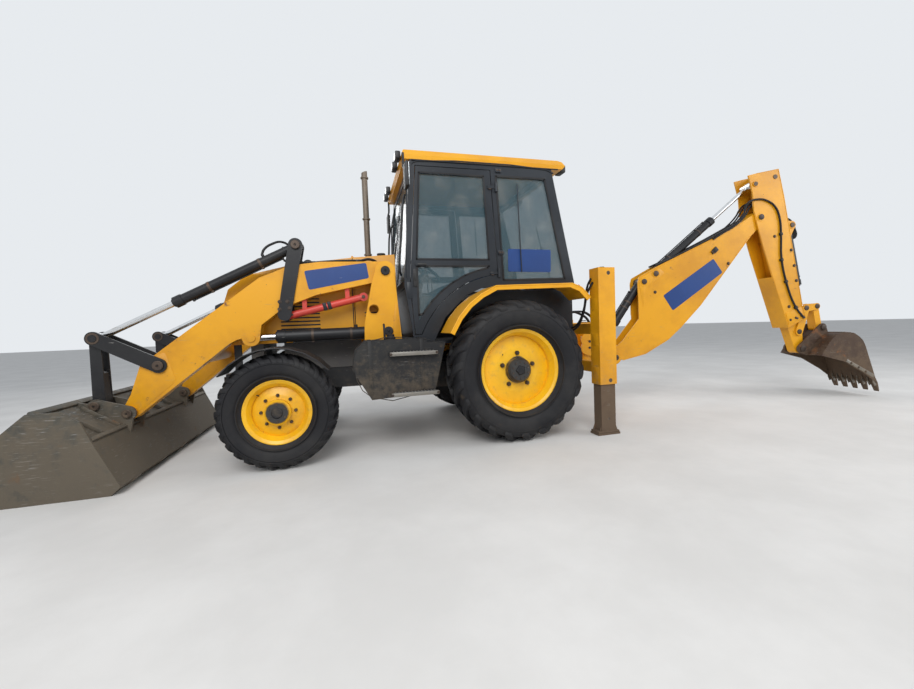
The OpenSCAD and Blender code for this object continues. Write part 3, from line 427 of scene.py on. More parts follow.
@dataclass(frozen=True)
class Glazing:
    """Tinted pane or lens.

    Attributes:
        name: Name of the finish.
        tint: Colour.
        opacity: Share of the surface that blocks what is behind it.
        rough: Roughness.
        painted_glow: Strength of painted light, a faint emission that stands in for daylight the lens gathers.
    """

    name: str
    tint: Colour
    opacity: float
    rough: float = 0.06
    painted_glow: float = 0.0

    def make(self) -> bpy.types.Material:
        """Builds the material.

        Returns:
            The material.
        """
        graph = Graph(self.name)
        film = graph.ramp(graph.noise(5.0, 6), 0.45, 0.8)
        colour = graph.mix(graph.maths("MULTIPLY", film, 0.35), self.tint, (0.42, 0.4, 0.36))
        graph.link(colour, graph.shader.inputs["Base Color"])
        graph.link(
            graph.maths("ADD", graph.maths("MULTIPLY", film, 0.12), self.rough), graph.shader.inputs["Roughness"])
        graph.shader.inputs["Alpha"].default_value = self.opacity
        graph.shader.inputs["Specular IOR Level"].default_value = 0.5
        # Painted light: a faint emission in the lens's own tint stands in for daylight caught inside the lens.
        if self.painted_glow:
            graph.shader.inputs["Emission Color"].default_value = (*self.tint, 1)
            graph.shader.inputs["Emission Strength"].default_value = self.painted_glow
        return graph.material


@dataclass(frozen=True)
class Chrome:
    """Polished rod with a film of oil."""

    name: str = "chromed rod"

    def make(self) -> bpy.types.Material:
        """Builds the material.

        Returns:
            The material.
        """
        graph = Graph(self.name)
        film = graph.noise(30.0, 5, graph.stretched((0.3, 1.0, 1.0)))
        graph.link(
            graph.mix(graph.ramp(film, 0.5, 0.75), (0.72, 0.73, 0.74), (0.45, 0.42, 0.38)),
            graph.shader.inputs["Base Color"])
        graph.shader.inputs["Metallic"].default_value = 1.0
        graph.link(graph.maths("ADD", graph.maths("MULTIPLY", film, 0.2), 0.08), graph.shader.inputs["Roughness"])
        graph.bump(film, 0.05, 0.0001)
        return graph.material


@dataclass(frozen=True)
class Cloth:
    """Woven seat cloth."""

    name: str = "seat cloth"
    base: Colour = (0.035, 0.035, 0.04)

    def make(self) -> bpy.types.Material:
        """Builds the material.

        Returns:
            The material.
        """
        graph = Graph(self.name)
        weft = graph.noise(420.0, 2, graph.stretched((1.0, 0.15, 1.0)))
        warp = graph.noise(420.0, 2, graph.stretched((0.15, 1.0, 1.0)))
        weave = graph.maths("MAXIMUM", weft, warp)
        colour = graph.mix(graph.ramp(weave, 0.45, 0.7), self.base, (0.1, 0.1, 0.11))
        colour = graph.mix(graph.ramp(graph.noise(8.0, 5), 0.55, 0.8), colour, (0.16, 0.13, 0.1))
        graph.link(colour, graph.shader.inputs["Base Color"])
        graph.shader.inputs["Roughness"].default_value = 0.92
        graph.shader.inputs["Sheen Weight"].default_value = 0.25
        graph.bump(weave, 0.6, 0.0008)
        return graph.material


@dataclass(frozen=True)
class RimPaint:
    """Yellow rim paint that turns to greasy black round the hub.

    Attributes:
        name: Name of the finish.
        axle: A point of the axle's line.
        hub: Radius of the greasy middle in metres.
    """

    name: str
    axle: Vector
    hub: float

    def make(self) -> bpy.types.Material:
        """Builds the material.

        Returns:
            The material.
        """
        graph = Graph(self.name)
        move = graph.add("ShaderNodeMapping")
        move.inputs["Location"].default_value = (-self.axle.x, 0, -self.axle.z)
        move.inputs["Scale"].default_value = (1, 0, 1)
        graph.link(graph.place, move.inputs["Vector"])
        span = graph.add("ShaderNodeVectorMath")
        span.operation = "LENGTH"
        graph.link(move.outputs[0], span.inputs[0])
        radius = graph.maths("ADD", span.outputs["Value"], graph.maths("MULTIPLY", graph.noise(9.0, 6), 0.035))
        colour = graph.mix(graph.ramp(graph.noise(3.0, 5), 0.35, 0.7), (0.9, 0.5, 0.01), (0.76, 0.39, 0.012))
        dust = graph.ramp(graph.noise(16.0, 8), 0.5, 0.85)
        colour = graph.mix(graph.maths("MULTIPLY", dust, 0.55), colour, (0.3, 0.2, 0.1))
        grease = graph.ramp(radius, self.hub + 0.03, self.hub + 0.012)
        colour = graph.mix(grease, colour, (0.03, 0.028, 0.026))
        graph.link(colour, graph.shader.inputs["Base Color"])
        graph.link(graph.maths("ADD", graph.maths("MULTIPLY", dust, 0.35), 0.33), graph.shader.inputs["Roughness"])
        graph.bump(graph.maths("ADD", dust, grease), 0.4, 0.0012)
        return graph.material


YELLOW = Weathered(
    "yellow paint", (0.78, 0.365, 0.006), (0.68, 0.3, 0.007), rust=0.1, scratched=0.25, rough=0.36,
    scratch=(0.52, 0.33, 0.12))
ARM_YELLOW = Weathered(
    "yellow arm paint", (0.76, 0.35, 0.006), (0.6, 0.26, 0.008), rust=0.3, scratched=0.5, rough=0.4, wear=Wear.DUSTY,
    scratch=(0.46, 0.28, 0.1))
BLACK = Weathered(
    "black paint", (0.012, 0.012, 0.014), (0.022, 0.022, 0.023), dirt=(0.11, 0.085, 0.06), rust=0.05, scratched=0.12,
    rough=0.42, gloss=0.3)
CAB_BLACK = Weathered(
    "cab paint", (0.013, 0.016, 0.021), (0.024, 0.028, 0.034), dirt=(0.1, 0.09, 0.08), rust=0.0, scratched=0.05,
    rough=0.34, wear=Wear.CLEAN, gloss=0.35)
TANK_BLACK = Weathered(
    "tank paint", (0.014, 0.014, 0.015), (0.03, 0.029, 0.027), dirt=(0.105, 0.082, 0.058), rust=0.08, scratched=0.5,
    wear=Wear.MUDDY, rough=0.5, gloss=0.3, scratch=(0.13, 0.125, 0.12))
BUCKET_STEEL = Weathered(
    "worn bucket steel", (0.06, 0.062, 0.055), (0.1, 0.092, 0.075), dirt=(0.125, 0.1, 0.07), rust=0.35, metal=0.35,
    rough=0.5, scratch=(0.42, 0.41, 0.39), scratched=0.8, wear=Wear.MUDDY, relief=0.0016, grain=40)
EDGE_STEEL = Weathered(
    "worn edge steel", (0.24, 0.225, 0.2), (0.15, 0.13, 0.1), rust=0.3, metal=0.7, rough=0.38, scratched=0.8,
    wear=Wear.DUSTY, relief=0.001)
RUST_STEEL = Weathered(
    "rusty steel", (0.06, 0.034, 0.021), (0.1, 0.055, 0.03), dirt=(0.13, 0.09, 0.058), rust=0.46, metal=0.15,
    rough=0.62, scratched=0.4, wear=Wear.MUDDY, relief=0.0016, grain=45)
PIPE_RUST = Weathered(
    "exhaust rust", (0.2, 0.165, 0.13), (0.13, 0.095, 0.065), dirt=(0.12, 0.1, 0.085), rust=0.25, metal=0.3,
    rough=0.55, scratched=0.1, wear=Wear.CLEAN)
RED = Weathered("red paint", (0.62, 0.055, 0.035), (0.5, 0.05, 0.035), rust=0.12, scratched=0.3, rough=0.42)
PLASTIC = Weathered(
    "black plastic", (0.013, 0.013, 0.014), (0.022, 0.022, 0.022), dirt=(0.09, 0.08, 0.07), rust=0.0, scratched=0.05,
    rough=0.5, wear=Wear.CLEAN, grain=160, relief=0.0003)
GREY_IRON = Weathered("engine iron", (0.1, 0.1, 0.105), (0.14, 0.13, 0.12), rust=0.25, rough=0.6, grain=120)
BOLT_STEEL = Weathered("pin steel", (0.055, 0.04, 0.032), (0.1, 0.07, 0.05), rust=0.3, metal=0.4, rough=0.5)
BLUE = Weathered(
    "blue panel", (0.01, 0.042, 0.175), (0.012, 0.05, 0.2), rust=0.0, scratched=0.1, rough=0.35, wear=Wear.CLEAN)
TYRE = Rubber("tyre rubber", muddy=0.35)
HOSE = Rubber("hose rubber", muddy=0.12)
SEAL = Rubber("window seal", muddy=0.0)
PANE = Glazing("cab glass", (0.065, 0.12, 0.145), 0.47, 0.08)
AMBER = Glazing("amber lens", (0.95, 0.3, 0.02), 0.88, 0.12, 0.15)
CLEAR = Glazing("clear lens", (0.75, 0.77, 0.78), 0.85, 0.08)
RED_LENS = Glazing("red lens", (0.6, 0.03, 0.02), 0.92, 0.12)
MIRROR = Weathered(
    "mirror face", (0.55, 0.58, 0.6), (0.5, 0.53, 0.55), rust=0.0, metal=0.9, rough=0.12, scratched=0.0,
    wear=Wear.CLEAN, relief=0.0001)


@dataclass
class Palette:
    """Materials made so far, one for each finish.

    Attributes:
        made: Materials by the finish's name.
    """

    made: dict[str, bpy.types.Material] = field(default_factory=dict)

    def get(self, finish: Finish) -> bpy.types.Material:
        """The finish's material, made at its first use.

        Args:
            finish: Finish to look up.

        Returns:
            The material.
        """
        if finish.name not in self.made:
            self.made[finish.name] = finish.make()
        return self.made[finish.name]


PALETTE = Palette()
REAR_RIM = RimPaint("rear rim paint", REAR_AXLE, 0.125)
FRONT_RIM = RimPaint("front rim paint", FRONT_AXLE, 0.085)


def only(piece: Piece) -> None:
    """Leaves one object selected and active.

    Args:
        piece: Object to select.
    """
    for other in bpy.context.selected_objects:
        other.select_set(False)
    piece.select_set(True)
    bpy.context.view_layer.objects.active = piece


class Bench:
    """Models pieces in a local frame and hands them over placed and painted."""

    def __init__(self, placing: Placing, body: str) -> None:
        """Sets up a bench.

        Args:
            placing: Frame the sizes are given in.
            body: Body that the pieces ride.
        """
        self.placing = placing
        self.body = body
        self.parts: list[Piece] = []

    def fresh(self) -> None:
        """Nothing is left selected."""
        if bpy.context.object and bpy.context.object.mode != "OBJECT":
            bpy.ops.object.mode_set(mode="OBJECT")
        bpy.ops.object.select_all(action="DESELECT")

    def taken(self, finish: Finish) -> Piece:
        """Takes the active object as a part and paints it.

        Args:
            finish: Finish of the part.

        Returns:
            The part.
        """
        part = bpy.context.object
        part.data.materials.clear()
        part.data.materials.append(PALETTE.get(finish))
        self.parts.append(part)
        return part

    def bevel(self, part: Piece, width: float, segments: int = 2) -> None:
        """Rounds the part's edges.

        Args:
            part: Part to work on.
            width: Width of the rounding in metres.
            segments: Steps of the rounding.
        """
        if width <= 0:
            return
        only(part)
        modifier = part.modifiers.new("edge", "BEVEL")
        modifier.width = width
        modifier.segments = segments
        modifier.limit_method = "ANGLE"
        modifier.angle_limit = math.radians(40)
        bpy.ops.object.modifier_apply(modifier=modifier.name)

    def smooth(self, part: Piece, angle: float = 35) -> None:
        """Shades the part smooth where its faces meet at a small angle."""
        only(part)
        bpy.ops.object.shade_smooth_by_angle(angle=math.radians(angle))

    def plate(
        self, outline: Sequence[Point], side_low: float, side_high: float, finish: Finish, bevel: float = 0.003
    ) -> Piece:
        """A plate with an outline in the along and up plane.

        Args:
            outline: Corners as (along, up) in metres, counter-clockwise or not.
            side_low: Lower bound across the plane.
            side_high: Upper bound across the plane.
            finish: Finish of the plate.
            bevel: Width of its rounded edges.

        Returns:
            The plate.
        """
        self.fresh()
        bpy.ops.mesh.primitive_circle_add(vertices=len(outline), radius=1, fill_type="NGON")
        part = bpy.context.object
        for vertex, (u, w) in zip(part.data.vertices, outline):
            vertex.co = Vector((u, side_low, w))
        bpy.ops.object.mode_set(mode="EDIT")
        bpy.ops.mesh.select_all(action="SELECT")
        bpy.ops.mesh.extrude_region_move(TRANSFORM_OT_translate={"value": (0, side_high - side_low, 0)})
        bpy.ops.mesh.select_all(action="SELECT")
        bpy.ops.mesh.normals_make_consistent(inside=False)
        bpy.ops.object.mode_set(mode="OBJECT")
        self.bevel(part, bevel)
        self.smooth(part)
        return self.taken(finish)

    def panel(
        self, corners: Sequence[Point], side: float, lift: float, finish: Finish, rounding: float = 0.02
    ) -> Piece:
        """A thin sheet with rounded corners laid on a side face.

        Args:
            corners: Corners as (along, up) in metres.
            side: Where the face lies across the plane.
            lift: Signed thickness of the sheet.
            finish: Finish of the sheet.
            rounding: Radius of its corners.

        Returns:
            The sheet.
        """
        return self.plate(rounded(corners, rounding), side, side + lift, finish, 0.0)

    def block(
        self, centre: Sequence[float], size: Sequence[float], finish: Finish, bevel: float = 0.004,
        turn: tuple[str, float] | None = None
    ) -> Piece:
        """A block with rounded edges.

        Args:
            centre: Local centre in metres.
            size: Lengths in metres.
            finish: Finish of the block.
            bevel: Width of its rounded edges.
            turn: Axis name and degrees to turn it by.

        Returns:
            The block.
        """
        self.fresh()
        bpy.ops.mesh.primitive_cube_add(size=1)
        part = bpy.context.object
        part.scale = size
        bpy.ops.object.transform_apply(location=False, rotation=False, scale=True)
        self.bevel(part, min(bevel, 0.4 * min(size)))
        if turn:
            part.rotation_euler["XYZ".index(turn[0])] = math.radians(turn[1])
        part.location = centre
        only(part)
        bpy.ops.object.transform_apply(location=True, rotation=True, scale=True)
        self.smooth(part)
        return self.taken(finish)

    def lathe(
        self, profile: Sequence[Point], centre: Sequence[float], axis: Sequence[float], finish: Finish,
        steps: int = 28
    ) -> Piece:
        """A round piece spun from a profile.

        Args:
            profile: Points as (radius, along the axis) in metres; an end at radius 0 closes it.
            centre: Local point where the profile's zero lies.
            axis: Local direction of the axis.
            finish: Finish of the piece.
            steps: Facets round it.

        Returns:
            The piece.
        """
        self.fresh()
        mesh = bpy.data.meshes.new("profile")
        mesh.from_pydata([(r, 0, h) for r, h in profile], [(i, i + 1) for i in range(len(profile) - 1)], [])
        part = bpy.data.objects.new("profile", mesh)
        bpy.context.collection.objects.link(part)
        only(part)
        bpy.ops.object.mode_set(mode="EDIT")
        bpy.ops.mesh.select_all(action="SELECT")
        bpy.ops.mesh.spin(steps=steps, angle=math.tau, center=(0, 0, 0), axis=(0, 0, 1))
        bpy.ops.mesh.select_all(action="SELECT")
        bpy.ops.mesh.remove_doubles(threshold=0.00005)
        bpy.ops.mesh.normals_make_consistent(inside=False)
        bpy.ops.object.mode_set(mode="OBJECT")
        turned = Vector((0, 0, 1)).rotation_difference(Vector(axis).normalized())
        part.rotation_mode = "QUATERNION"
        part.rotation_quaternion = turned
        part.location = centre
        bpy.ops.object.transform_apply(location=True, rotation=True, scale=True)
        self.smooth(part)
        return self.taken(finish)

    def rod(
        self, start: Sequence[float], end: Sequence[float], radius: float, finish: Finish, steps: int = 20,
        chamfer: float = 0.003
    ) -> Piece:
        """A round bar with chamfered ends.

        Args:
            start: Local point of one end.
            end: Local point of the other end.
            radius: Radius in metres.
            finish: Finish of the bar.
            steps: Facets round it.
            chamfer: Width of the chamfer.

        Returns:
            The bar.
        """
        span = Vector(end) - Vector(start)
        edge = min(chamfer, 0.4 * radius, 0.3 * span.length)
        profile = [
            (0, 0), (radius - edge, 0), (radius, edge), (radius, span.length - edge), (radius - edge, span.length),
            (0, span.length)]
        return self.lathe(profile, start, span, finish, steps)

    def bolt(
        self, centre: Sequence[float], axis: Sequence[float], across: float, height: float,
        finish: Finish | None = None, washer: bool = True
    ) -> Piece:
        """A six-sided bolt head on a washer.

        Args:
            centre: Local point on the face it sits on.
            axis: Direction it stands out in.
            across: Width over the corners in metres.
            height: Height of the head in metres.
            finish: Finish, pin steel by default.
            washer: Whether a washer lies under it.

        Returns:
            The bolt's head.
        """
        head = self.lathe(
            [(0, -0.002), (across / 2, -0.002), (across / 2, height * 0.8), (across * 0.42, height), (0, height)],
            centre, axis, finish or BOLT_STEEL, 6)
        if washer:
            self.lathe(
                [(0, -0.001), (across * 0.68, -0.001), (across * 0.68, height * 0.22), (0, height * 0.22)], centre,
                axis, finish or BOLT_STEEL, 16)
        return head

    def hose(
        self, points: Iterable[Sequence[float]], radius: float, finish: Finish | None = None, steps: int = 10,
        bent: bool = True
    ) -> Piece:
        """A hose or pipe through points, rounded between them.

        Args:
            points: Local points in metres.
            radius: Radius in metres.
            finish: Finish, hose rubber by default.
            steps: Sections between two points.
            bent: Whether it curves through the points, and doesn't run straight between them.

        Returns:
            The hose.
        """
        self.fresh()
        curve = bpy.data.curves.new("line", "CURVE")
        curve.dimensions = "3D"
        curve.bevel_depth = radius
        curve.bevel_resolution = 2
        curve.resolution_u = steps if bent else 1
        curve.use_fill_caps = True
        places = [Vector(p) for p in points]
        spline = curve.splines.new("BEZIER")
        spline.bezier_points.add(len(places) - 1)
        for knot, place in zip(spline.bezier_points, places):
            knot.co = place
            knot.handle_left_type = knot.handle_right_type = "AUTO" if bent else "VECTOR"
        part = bpy.data.objects.new("line", curve)
        bpy.context.collection.objects.link(part)
        only(part)
        bpy.ops.object.convert(target="MESH")
        part = bpy.context.object
        for face in part.data.polygons:
            face.use_smooth = True
        return self.taken(finish or HOSE)

    def copied(self, part: Piece, matrix: Matrix) -> Piece:
        """A copy of a part moved by a local matrix, with its own mesh.

        Args:
            part: Part to copy.
            matrix: Move in the bench's frame.

        Returns:
            The copy.
        """
        copy = part.copy()
        copy.data = part.data.copy()
        bpy.context.collection.objects.link(copy)
        copy.data.transform(matrix)
        if matrix.determinant() < 0:
            copy.data.flip_normals()
        self.parts.append(copy)
        return copy

    def ring(self, part: Piece, centre: Sequence[float], axis: Sequence[float], count: int) -> None:
        """Repeats a part round an axis.

        Args:
            part: Part to repeat.
            centre: A local point of the axis.
            axis: Direction of the axis.
            count: Number in all.
        """
        for index in range(1, count):
            turn = Matrix.Rotation(math.tau * index / count, 4, Vector(axis))
            self.copied(part, Matrix.Translation(centre) @ turn @ Matrix.Translation(-Vector(centre)))

    def row(self, part: Piece, step: Sequence[float], count: int) -> None:
        """Repeats a part along a line.

        Args:
            part: Part to repeat.
            step: Local distance from one to the next.
            count: Number in all.
        """
        for index in range(1, count):
            self.copied(part, Matrix.Translation(Vector(step) * index))

    def collar(
        self, inner: float, outer: float, centre: Place, axis: Place, finish: Finish, steps: int,
        base: float = -0.001, height: float = 0.004, inset: float = 0.002
    ) -> Piece:
        """A flat ring, or a cap where its inner radius is 0.

        Args:
            inner: Inner radius in metres.
            outer: Outer radius at the foot.
            centre: Local point on the face it sits on.
            axis: Direction it stands out in.
            finish: Finish of the ring.
            steps: Facets round it.
            base: Height of its foot, below 0 where it is let into the face.
            height: Height of its top.
            inset: How much smaller the top's outer radius is.

        Returns:
            The ring.
        """
        profile = [(inner, base), (outer, base), (outer - inset, height), (inner, height)]
        return self.lathe(profile, centre, axis, finish, steps)

    def button(
        self, radius: float, shoulder: float, top: float, height: float, centre: Place, axis: Place, steps: int
    ) -> Piece:
        """A round pin cap with a chamfered edge.

        Args:
            radius: Radius of its wall.
            shoulder: Height of its wall.
            top: Radius of its flat top.
            height: Height of its top.
            centre: Local point on the face it sits on.
            axis: Direction it stands out in.
            steps: Facets round it.

        Returns:
            The cap.
        """
        profile = [(0, -0.001), (radius, -0.001), (radius, shoulder), (top, height), (0, height)]
        return self.lathe(profile, centre, axis, BOLT_STEEL, steps)

    def pin_ends(self, point: Point, middle: float, half: float, radius: float, finish: Finish | None = None) -> None:
        """Caps on both ends of a pin, each with a keeper bolt.

        Args:
            point: Side view place of the pin.
            middle: Middle of the pin across the plane.
            half: Half of its length.
            radius: Radius of the caps.
            finish: Finish of the caps, pin steel by default.
        """
        cap = [
            (0, -0.002), (radius, -0.002), (radius, 0.006), (radius * 0.88, 0.01), (radius * 0.3, 0.01),
            (radius * 0.24, 0.004), (0, 0.004)]
        for out in BOTH:
            face = (point[0], middle + out * half, point[1])
            bolt_end = (point[0], middle + out * (half + 0.014), point[1])
            self.lathe(cap, face, (0, out, 0), finish or BOLT_STEEL, 20)
            self.rod(face, bolt_end, radius * 0.14, BLACK, 8)

    def strip(self, outline: Sequence[Point], side: float, lift: float, width: float) -> None:
        """A closed strip of sealing section along an outline on a side face.

        Args:
            outline: Corners as (along, up).
            side: Where the face lies.
            lift: Signed height above it.
            width: Width of the strip.
        """
        for index, start in enumerate(outline):
            end = outline[(index + 1) % len(outline)]
            span = Vector((end[0] - start[0], end[1] - start[1]))
            if span.length < 0.005:
                continue
            middle = ((start[0] + end[0]) / 2, side + lift / 2, (start[1] + end[1]) / 2)
            angle = -math.degrees(math.atan2(span.y, span.x))
            self.block(middle, (span.length + width * 0.6, abs(lift), width), SEAL, 0.001, ("Y", angle))

    def finish(self, name: str, replaces: Sequence[str] = (), ride: bool = True) -> Piece:
        """Joins the parts into one named piece, placed in the machine.

        Args:
            name: Name of the piece.
            replaces: CAD nodes that it stands in for.
            ride: Whether it rides the bench's body.

        Returns:
            The piece.
        """
        self.fresh()
        for part in self.parts:
            part.select_set(True)
        bpy.context.view_layer.objects.active = self.parts[0]
        if len(self.parts) > 1:
            bpy.ops.object.join()
        piece = bpy.context.object
        piece.name = name
        piece.data.name = name
        piece.data.transform(self.placing.matrix())
        self.parts = []
        LOG.info("piece %s rides %s", name, self.body)
        if ride:
            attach(piece, self.body)
        if replaces:
            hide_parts(*replaces)
        return piece


def rounded(corners: Sequence[Point], radius: float, steps: int = 4) -> list[Point]:
    """An outline with its corners rounded.

    Args:
        corners: Corners in order.
        radius: Radius of the rounding in metres.
        steps: Points to a corner, less one.

    Returns:
        The rounded outline.
    """
    outline: list[Point] = []
    for index, corner in enumerate(corners):
        here = Vector(corner)
        before = (Vector(corners[index - 1]) - here)
        after = (Vector(corners[(index + 1) % len(corners)]) - here)
        reach = min(radius, 0.45 * before.length, 0.45 * after.length)
        start = here + before.normalized() * reach
        end = here + after.normalized() * reach
        for step in range(steps + 1):
            share = step / steps
            point = start * (1 - share) ** 2 + here * 2 * share * (1 - share) + end * share ** 2
            outline.append((point.x, point.y))
    return outline


@dataclass(frozen=True)
class Tyre:
    """One tyre with its lugs.

    Attributes:
        name: Name of the piece.
        body: Body that it rides.
        node: CAD node that it stands in for.
        axle: Side view centre.
        side: Middle of its width, across the machine.
        radius: Radius over the lugs.
        width: Width over the walls.
        bead: Radius of the rim's flange.
        lug: Height of a lug.
        count: Lugs on each side.
        bar: Thickness of a lug along the tread.
        slant: Turn of a lug from the middle to the shoulder in degrees.
    """

    name: str
    body: str
    node: str
    axle: Point
    side: float
    radius: float
    width: float
    bead: float
    lug: float
    count: int
    bar: float
    slant: float

    def tread(self, share: float) -> float:
        """Radius over the lugs at a share of the half width."""
        return self.radius - 0.011 * min(share / 0.5, 1) - 0.06 * max(0.0, (share - 0.66) / 0.34) ** 1.6

    def build(self) -> None:
        """Models the tyre."""
        bench = Bench(MACHINE, self.body)
        centre = Vector((self.axle[0], self.side, self.axle[1]))
        self.carcass(bench, centre)
        lug = self.bent_lug()
        pitch = math.tau / self.count
        for sign in BOTH:
            for index in range(self.count):
                turn = Matrix.Rotation(pitch * (index + (0.5 if sign < 0 else 0.0)), 4, "Y")
                bench.copied(lug, Matrix.Translation(centre) @ turn @ Matrix.Diagonal((1, sign, 1, 1)))
        bpy.data.objects.remove(lug)
        bench.finish(self.name, (self.node,))

    def carcass(self, bench: Bench, centre: Vector) -> None:
        """Walls, tread and rim ridges.

        Args:
            bench: Bench to build on.
            centre: Middle of the wheel.
        """
        half = self.width / 2
        base = self.radius - self.lug
        middle = (self.radius + self.bead) / 2
        right = [
            (self.bead - 0.012, 0.62 * half), (self.bead + 0.01, 0.7 * half), (self.bead + 0.024, 0.8 * half),
            (self.bead + 0.05, 0.9 * half), (middle - 0.02, 0.985 * half), (middle + 0.02, 0.99 * half),
            (base - 0.065, 0.965 * half), (base - 0.04, 0.93 * half), (base - 0.016, 0.8 * half),
            (base - 0.004, 0.5 * half)]
        profile = [(r, -h) for r, h in right] + [(base, 0.0)] + [(r, h) for r, h in reversed(right)]
        profile.append(profile[0])
        bench.lathe(profile, centre, (0, 1, 0), TYRE, 72)
        for height, rise in ((middle + 0.03, 0.006), (self.bead + 0.035, 0.005)):
            for sign in BOTH:
                ridge = [
                    (height - 0.008, 0.93 * half), (height - 0.004, 0.99 * half + rise * 0.2),
                    (height + 0.004, 0.99 * half + rise * 0.2), (height + 0.008, 0.93 * half)]
                bench.lathe([(r, sign * h) for r, h in ridge], centre, (0, 1, 0), TYRE, 72)

    def bent_lug(self) -> Piece:
        """One lug, modelled flat and then bent round the tyre and slanted.

        Returns:
            The lug, for a tyre round the origin.
        """
        half = self.width / 2
        base = self.radius - self.lug
        shares = (0.04, 0.3, 0.55, 0.75, 0.9, 0.985)
        outer = [(share * half, self.tread(share)) for share in shares]
        inner = [
            (half * 0.975, base - 0.06), (half * 0.9, base - 0.045), (half * 0.75, base - 0.022),
            (half * 0.04, base - 0.012)]
        bench = Bench(MACHINE, self.body)
        lug = bench.plate(outer + inner, -self.bar / 2, self.bar / 2, TYRE, 0.004)
        for vertex in lug.data.vertices:
            across, around, radius = vertex.co
            spread = 1 + 0.35 * (across / half)
            angle = around * spread / self.radius - math.radians(self.slant) * (across / half) ** 1.2
            vertex.co = Vector((math.sin(angle) * radius, across, math.cos(angle) * radius))
        return lug


@dataclass(frozen=True)
class RimFittings:
    """Studs and cap on one rim's hub.

    Attributes:
        name: Name of the piece.
        body: Body that it rides.
        axle: Side view centre.
        side: Middle of the tyre's width; its sign says which way is out.
        disc: Distance from there to the disc's outer face at the studs.
        circle: Radius of the studs' circle.
        studs: Number of studs.
        hub: Radius of the hub's drum.
        face: Distance from the tyre's middle to the hub's end.
        size: Width of a nut over its corners.
    """

    name: str
    body: str
    axle: Point
    side: float
    disc: float
    circle: float
    studs: int
    hub: float
    face: float
    size: float

    def build(self) -> None:
        """Models the fittings."""
        bench = Bench(MACHINE, self.body)
        out = 1 if self.side > 0 else -1
        centre = Vector((self.axle[0], self.side, self.axle[1]))
        stud_at = centre + Vector((0, out * self.disc, self.circle))
        nut = bench.bolt(stud_at, (0, out, 0), self.size, self.size * 0.6, BOLT_STEEL, False)
        bench.ring(nut, centre, (0, 1, 0), self.studs)
        stub = bench.rod(stud_at, stud_at + Vector((0, out * self.size * 0.95, 0)), self.size * 0.26, BOLT_STEEL, 10)
        bench.ring(stub, centre, (0, 1, 0), self.studs)
        end = centre + Vector((0, out * self.face, 0))
        cap = [(0, 0.012), (self.hub * 0.34, 0.012), (self.hub * 0.42, 0.006), (self.hub * 0.46, -0.004)]
        bench.lathe(cap, end, (0, out, 0), BLACK, 5 if self.studs == 5 else 24)
        small = bench.bolt(
            end + Vector((0, -out * 0.002, self.hub * 0.66)), (0, out, 0), 0.018, 0.009, BOLT_STEEL, False)
        bench.ring(small, centre, (0, 1, 0), 6 if self.studs != 5 else 10)
        valve = centre + Vector((0.3 * self.circle + 0.1, out * (self.disc + 0.01), 0.3 * self.circle + 0.1))
        bench.rod(valve, valve + Vector((0.012, out * 0.03, 0.012)), 0.005, BLACK, 8)
        bench.finish(self.name)


@dataclass(frozen=True)
class BluePanel:
    """A plain blank blue panel on a side face.

    Attributes:
        name: Name of the piece.
        body: Body that it rides.
        placing: Frame of its corners.
        corners: Corners as (along, up).
        sides: Places of the faces it lies on, with the way out as the lift's sign.
    """

    name: str
    body: str
    placing: Placing
    corners: tuple[Point, ...]
    sides: tuple[tuple[float, float], ...]

    def build(self) -> None:
        """Models the panel."""
        bench = Bench(self.placing, self.body)
        for side, lift in self.sides:
            bench.panel(self.corners, side, lift, BLUE)
        bench.finish(self.name)


@dataclass(frozen=True)
class Wheels:
    """Lugged tyres and rim fittings of the four wheels."""

    rear: Point = (0.0, 0.69)
    front: Point = (2.17, 0.485)
    rear_side: float = 0.91
    front_side: float = 0.945

    def build(self) -> None:
        """Models the wheels' pieces."""
        for side, word in SIDES:
            rear, front = side * self.rear_side, side * self.front_side
            Tyre(
                f"rear_{word}_lugged_tyre", f"rear_{word}_wheel", f"rear_{word}_tyre", self.rear, rear, radius=0.69,
                width=0.42, bead=0.398, lug=0.036, count=22, bar=0.06, slant=17).build()
            Tyre(
                f"front_{word}_lugged_tyre", f"front_{word}_wheel", f"front_{word}_tyre", self.front, front,
                radius=0.485, width=0.31, bead=0.27, lug=0.024, count=30, bar=0.036, slant=13).build()
            RimFittings(
                f"rear_{word}_studs", f"rear_{word}_wheel", self.rear, rear, disc=0.054, circle=0.165, studs=5,
                hub=0.12, face=0.14, size=0.046).build()
            RimFittings(
                f"front_{word}_studs", f"front_{word}_wheel", self.front, front, disc=0.052, circle=0.135, studs=8,
                hub=0.105, face=0.14, size=0.03).build()


@dataclass(frozen=True)
class BluePanels:
    """The plain blue panels on arms, quarter windows and boom."""

    arm: tuple[Point, ...] = ((1.945, 1.7), (1.382, 1.776), (1.361, 1.631), (1.911, 1.525))
    quarter: tuple[Point, ...] = ((-0.051, 1.912), (-0.538, 1.908), (-0.531, 1.672), (-0.047, 1.68))
    boom: tuple[Point, ...] = ((1.006, 0.142), (1.825, 0.032), (1.8, -0.186), (0.973, -0.09))

    def build(self) -> None:
        """Models the panels."""
        arm_faces = ((0.6398, 0.0022), (-0.6398, -0.0022))
        BluePanel("arm_panels", "loader_arms", MACHINE, self.arm, arm_faces).build()
        pane_faces = ((0.7058, 0.0024), (-0.7058, -0.0024))
        BluePanel("quarter_window_panels", "machine", MACHINE, self.quarter, pane_faces).build()
        boom_faces = ((-0.0998, -0.0022), (0.0998, 0.0022))
        BluePanel("boom_panels", "boom", BOOM, self.boom, boom_faces).build()


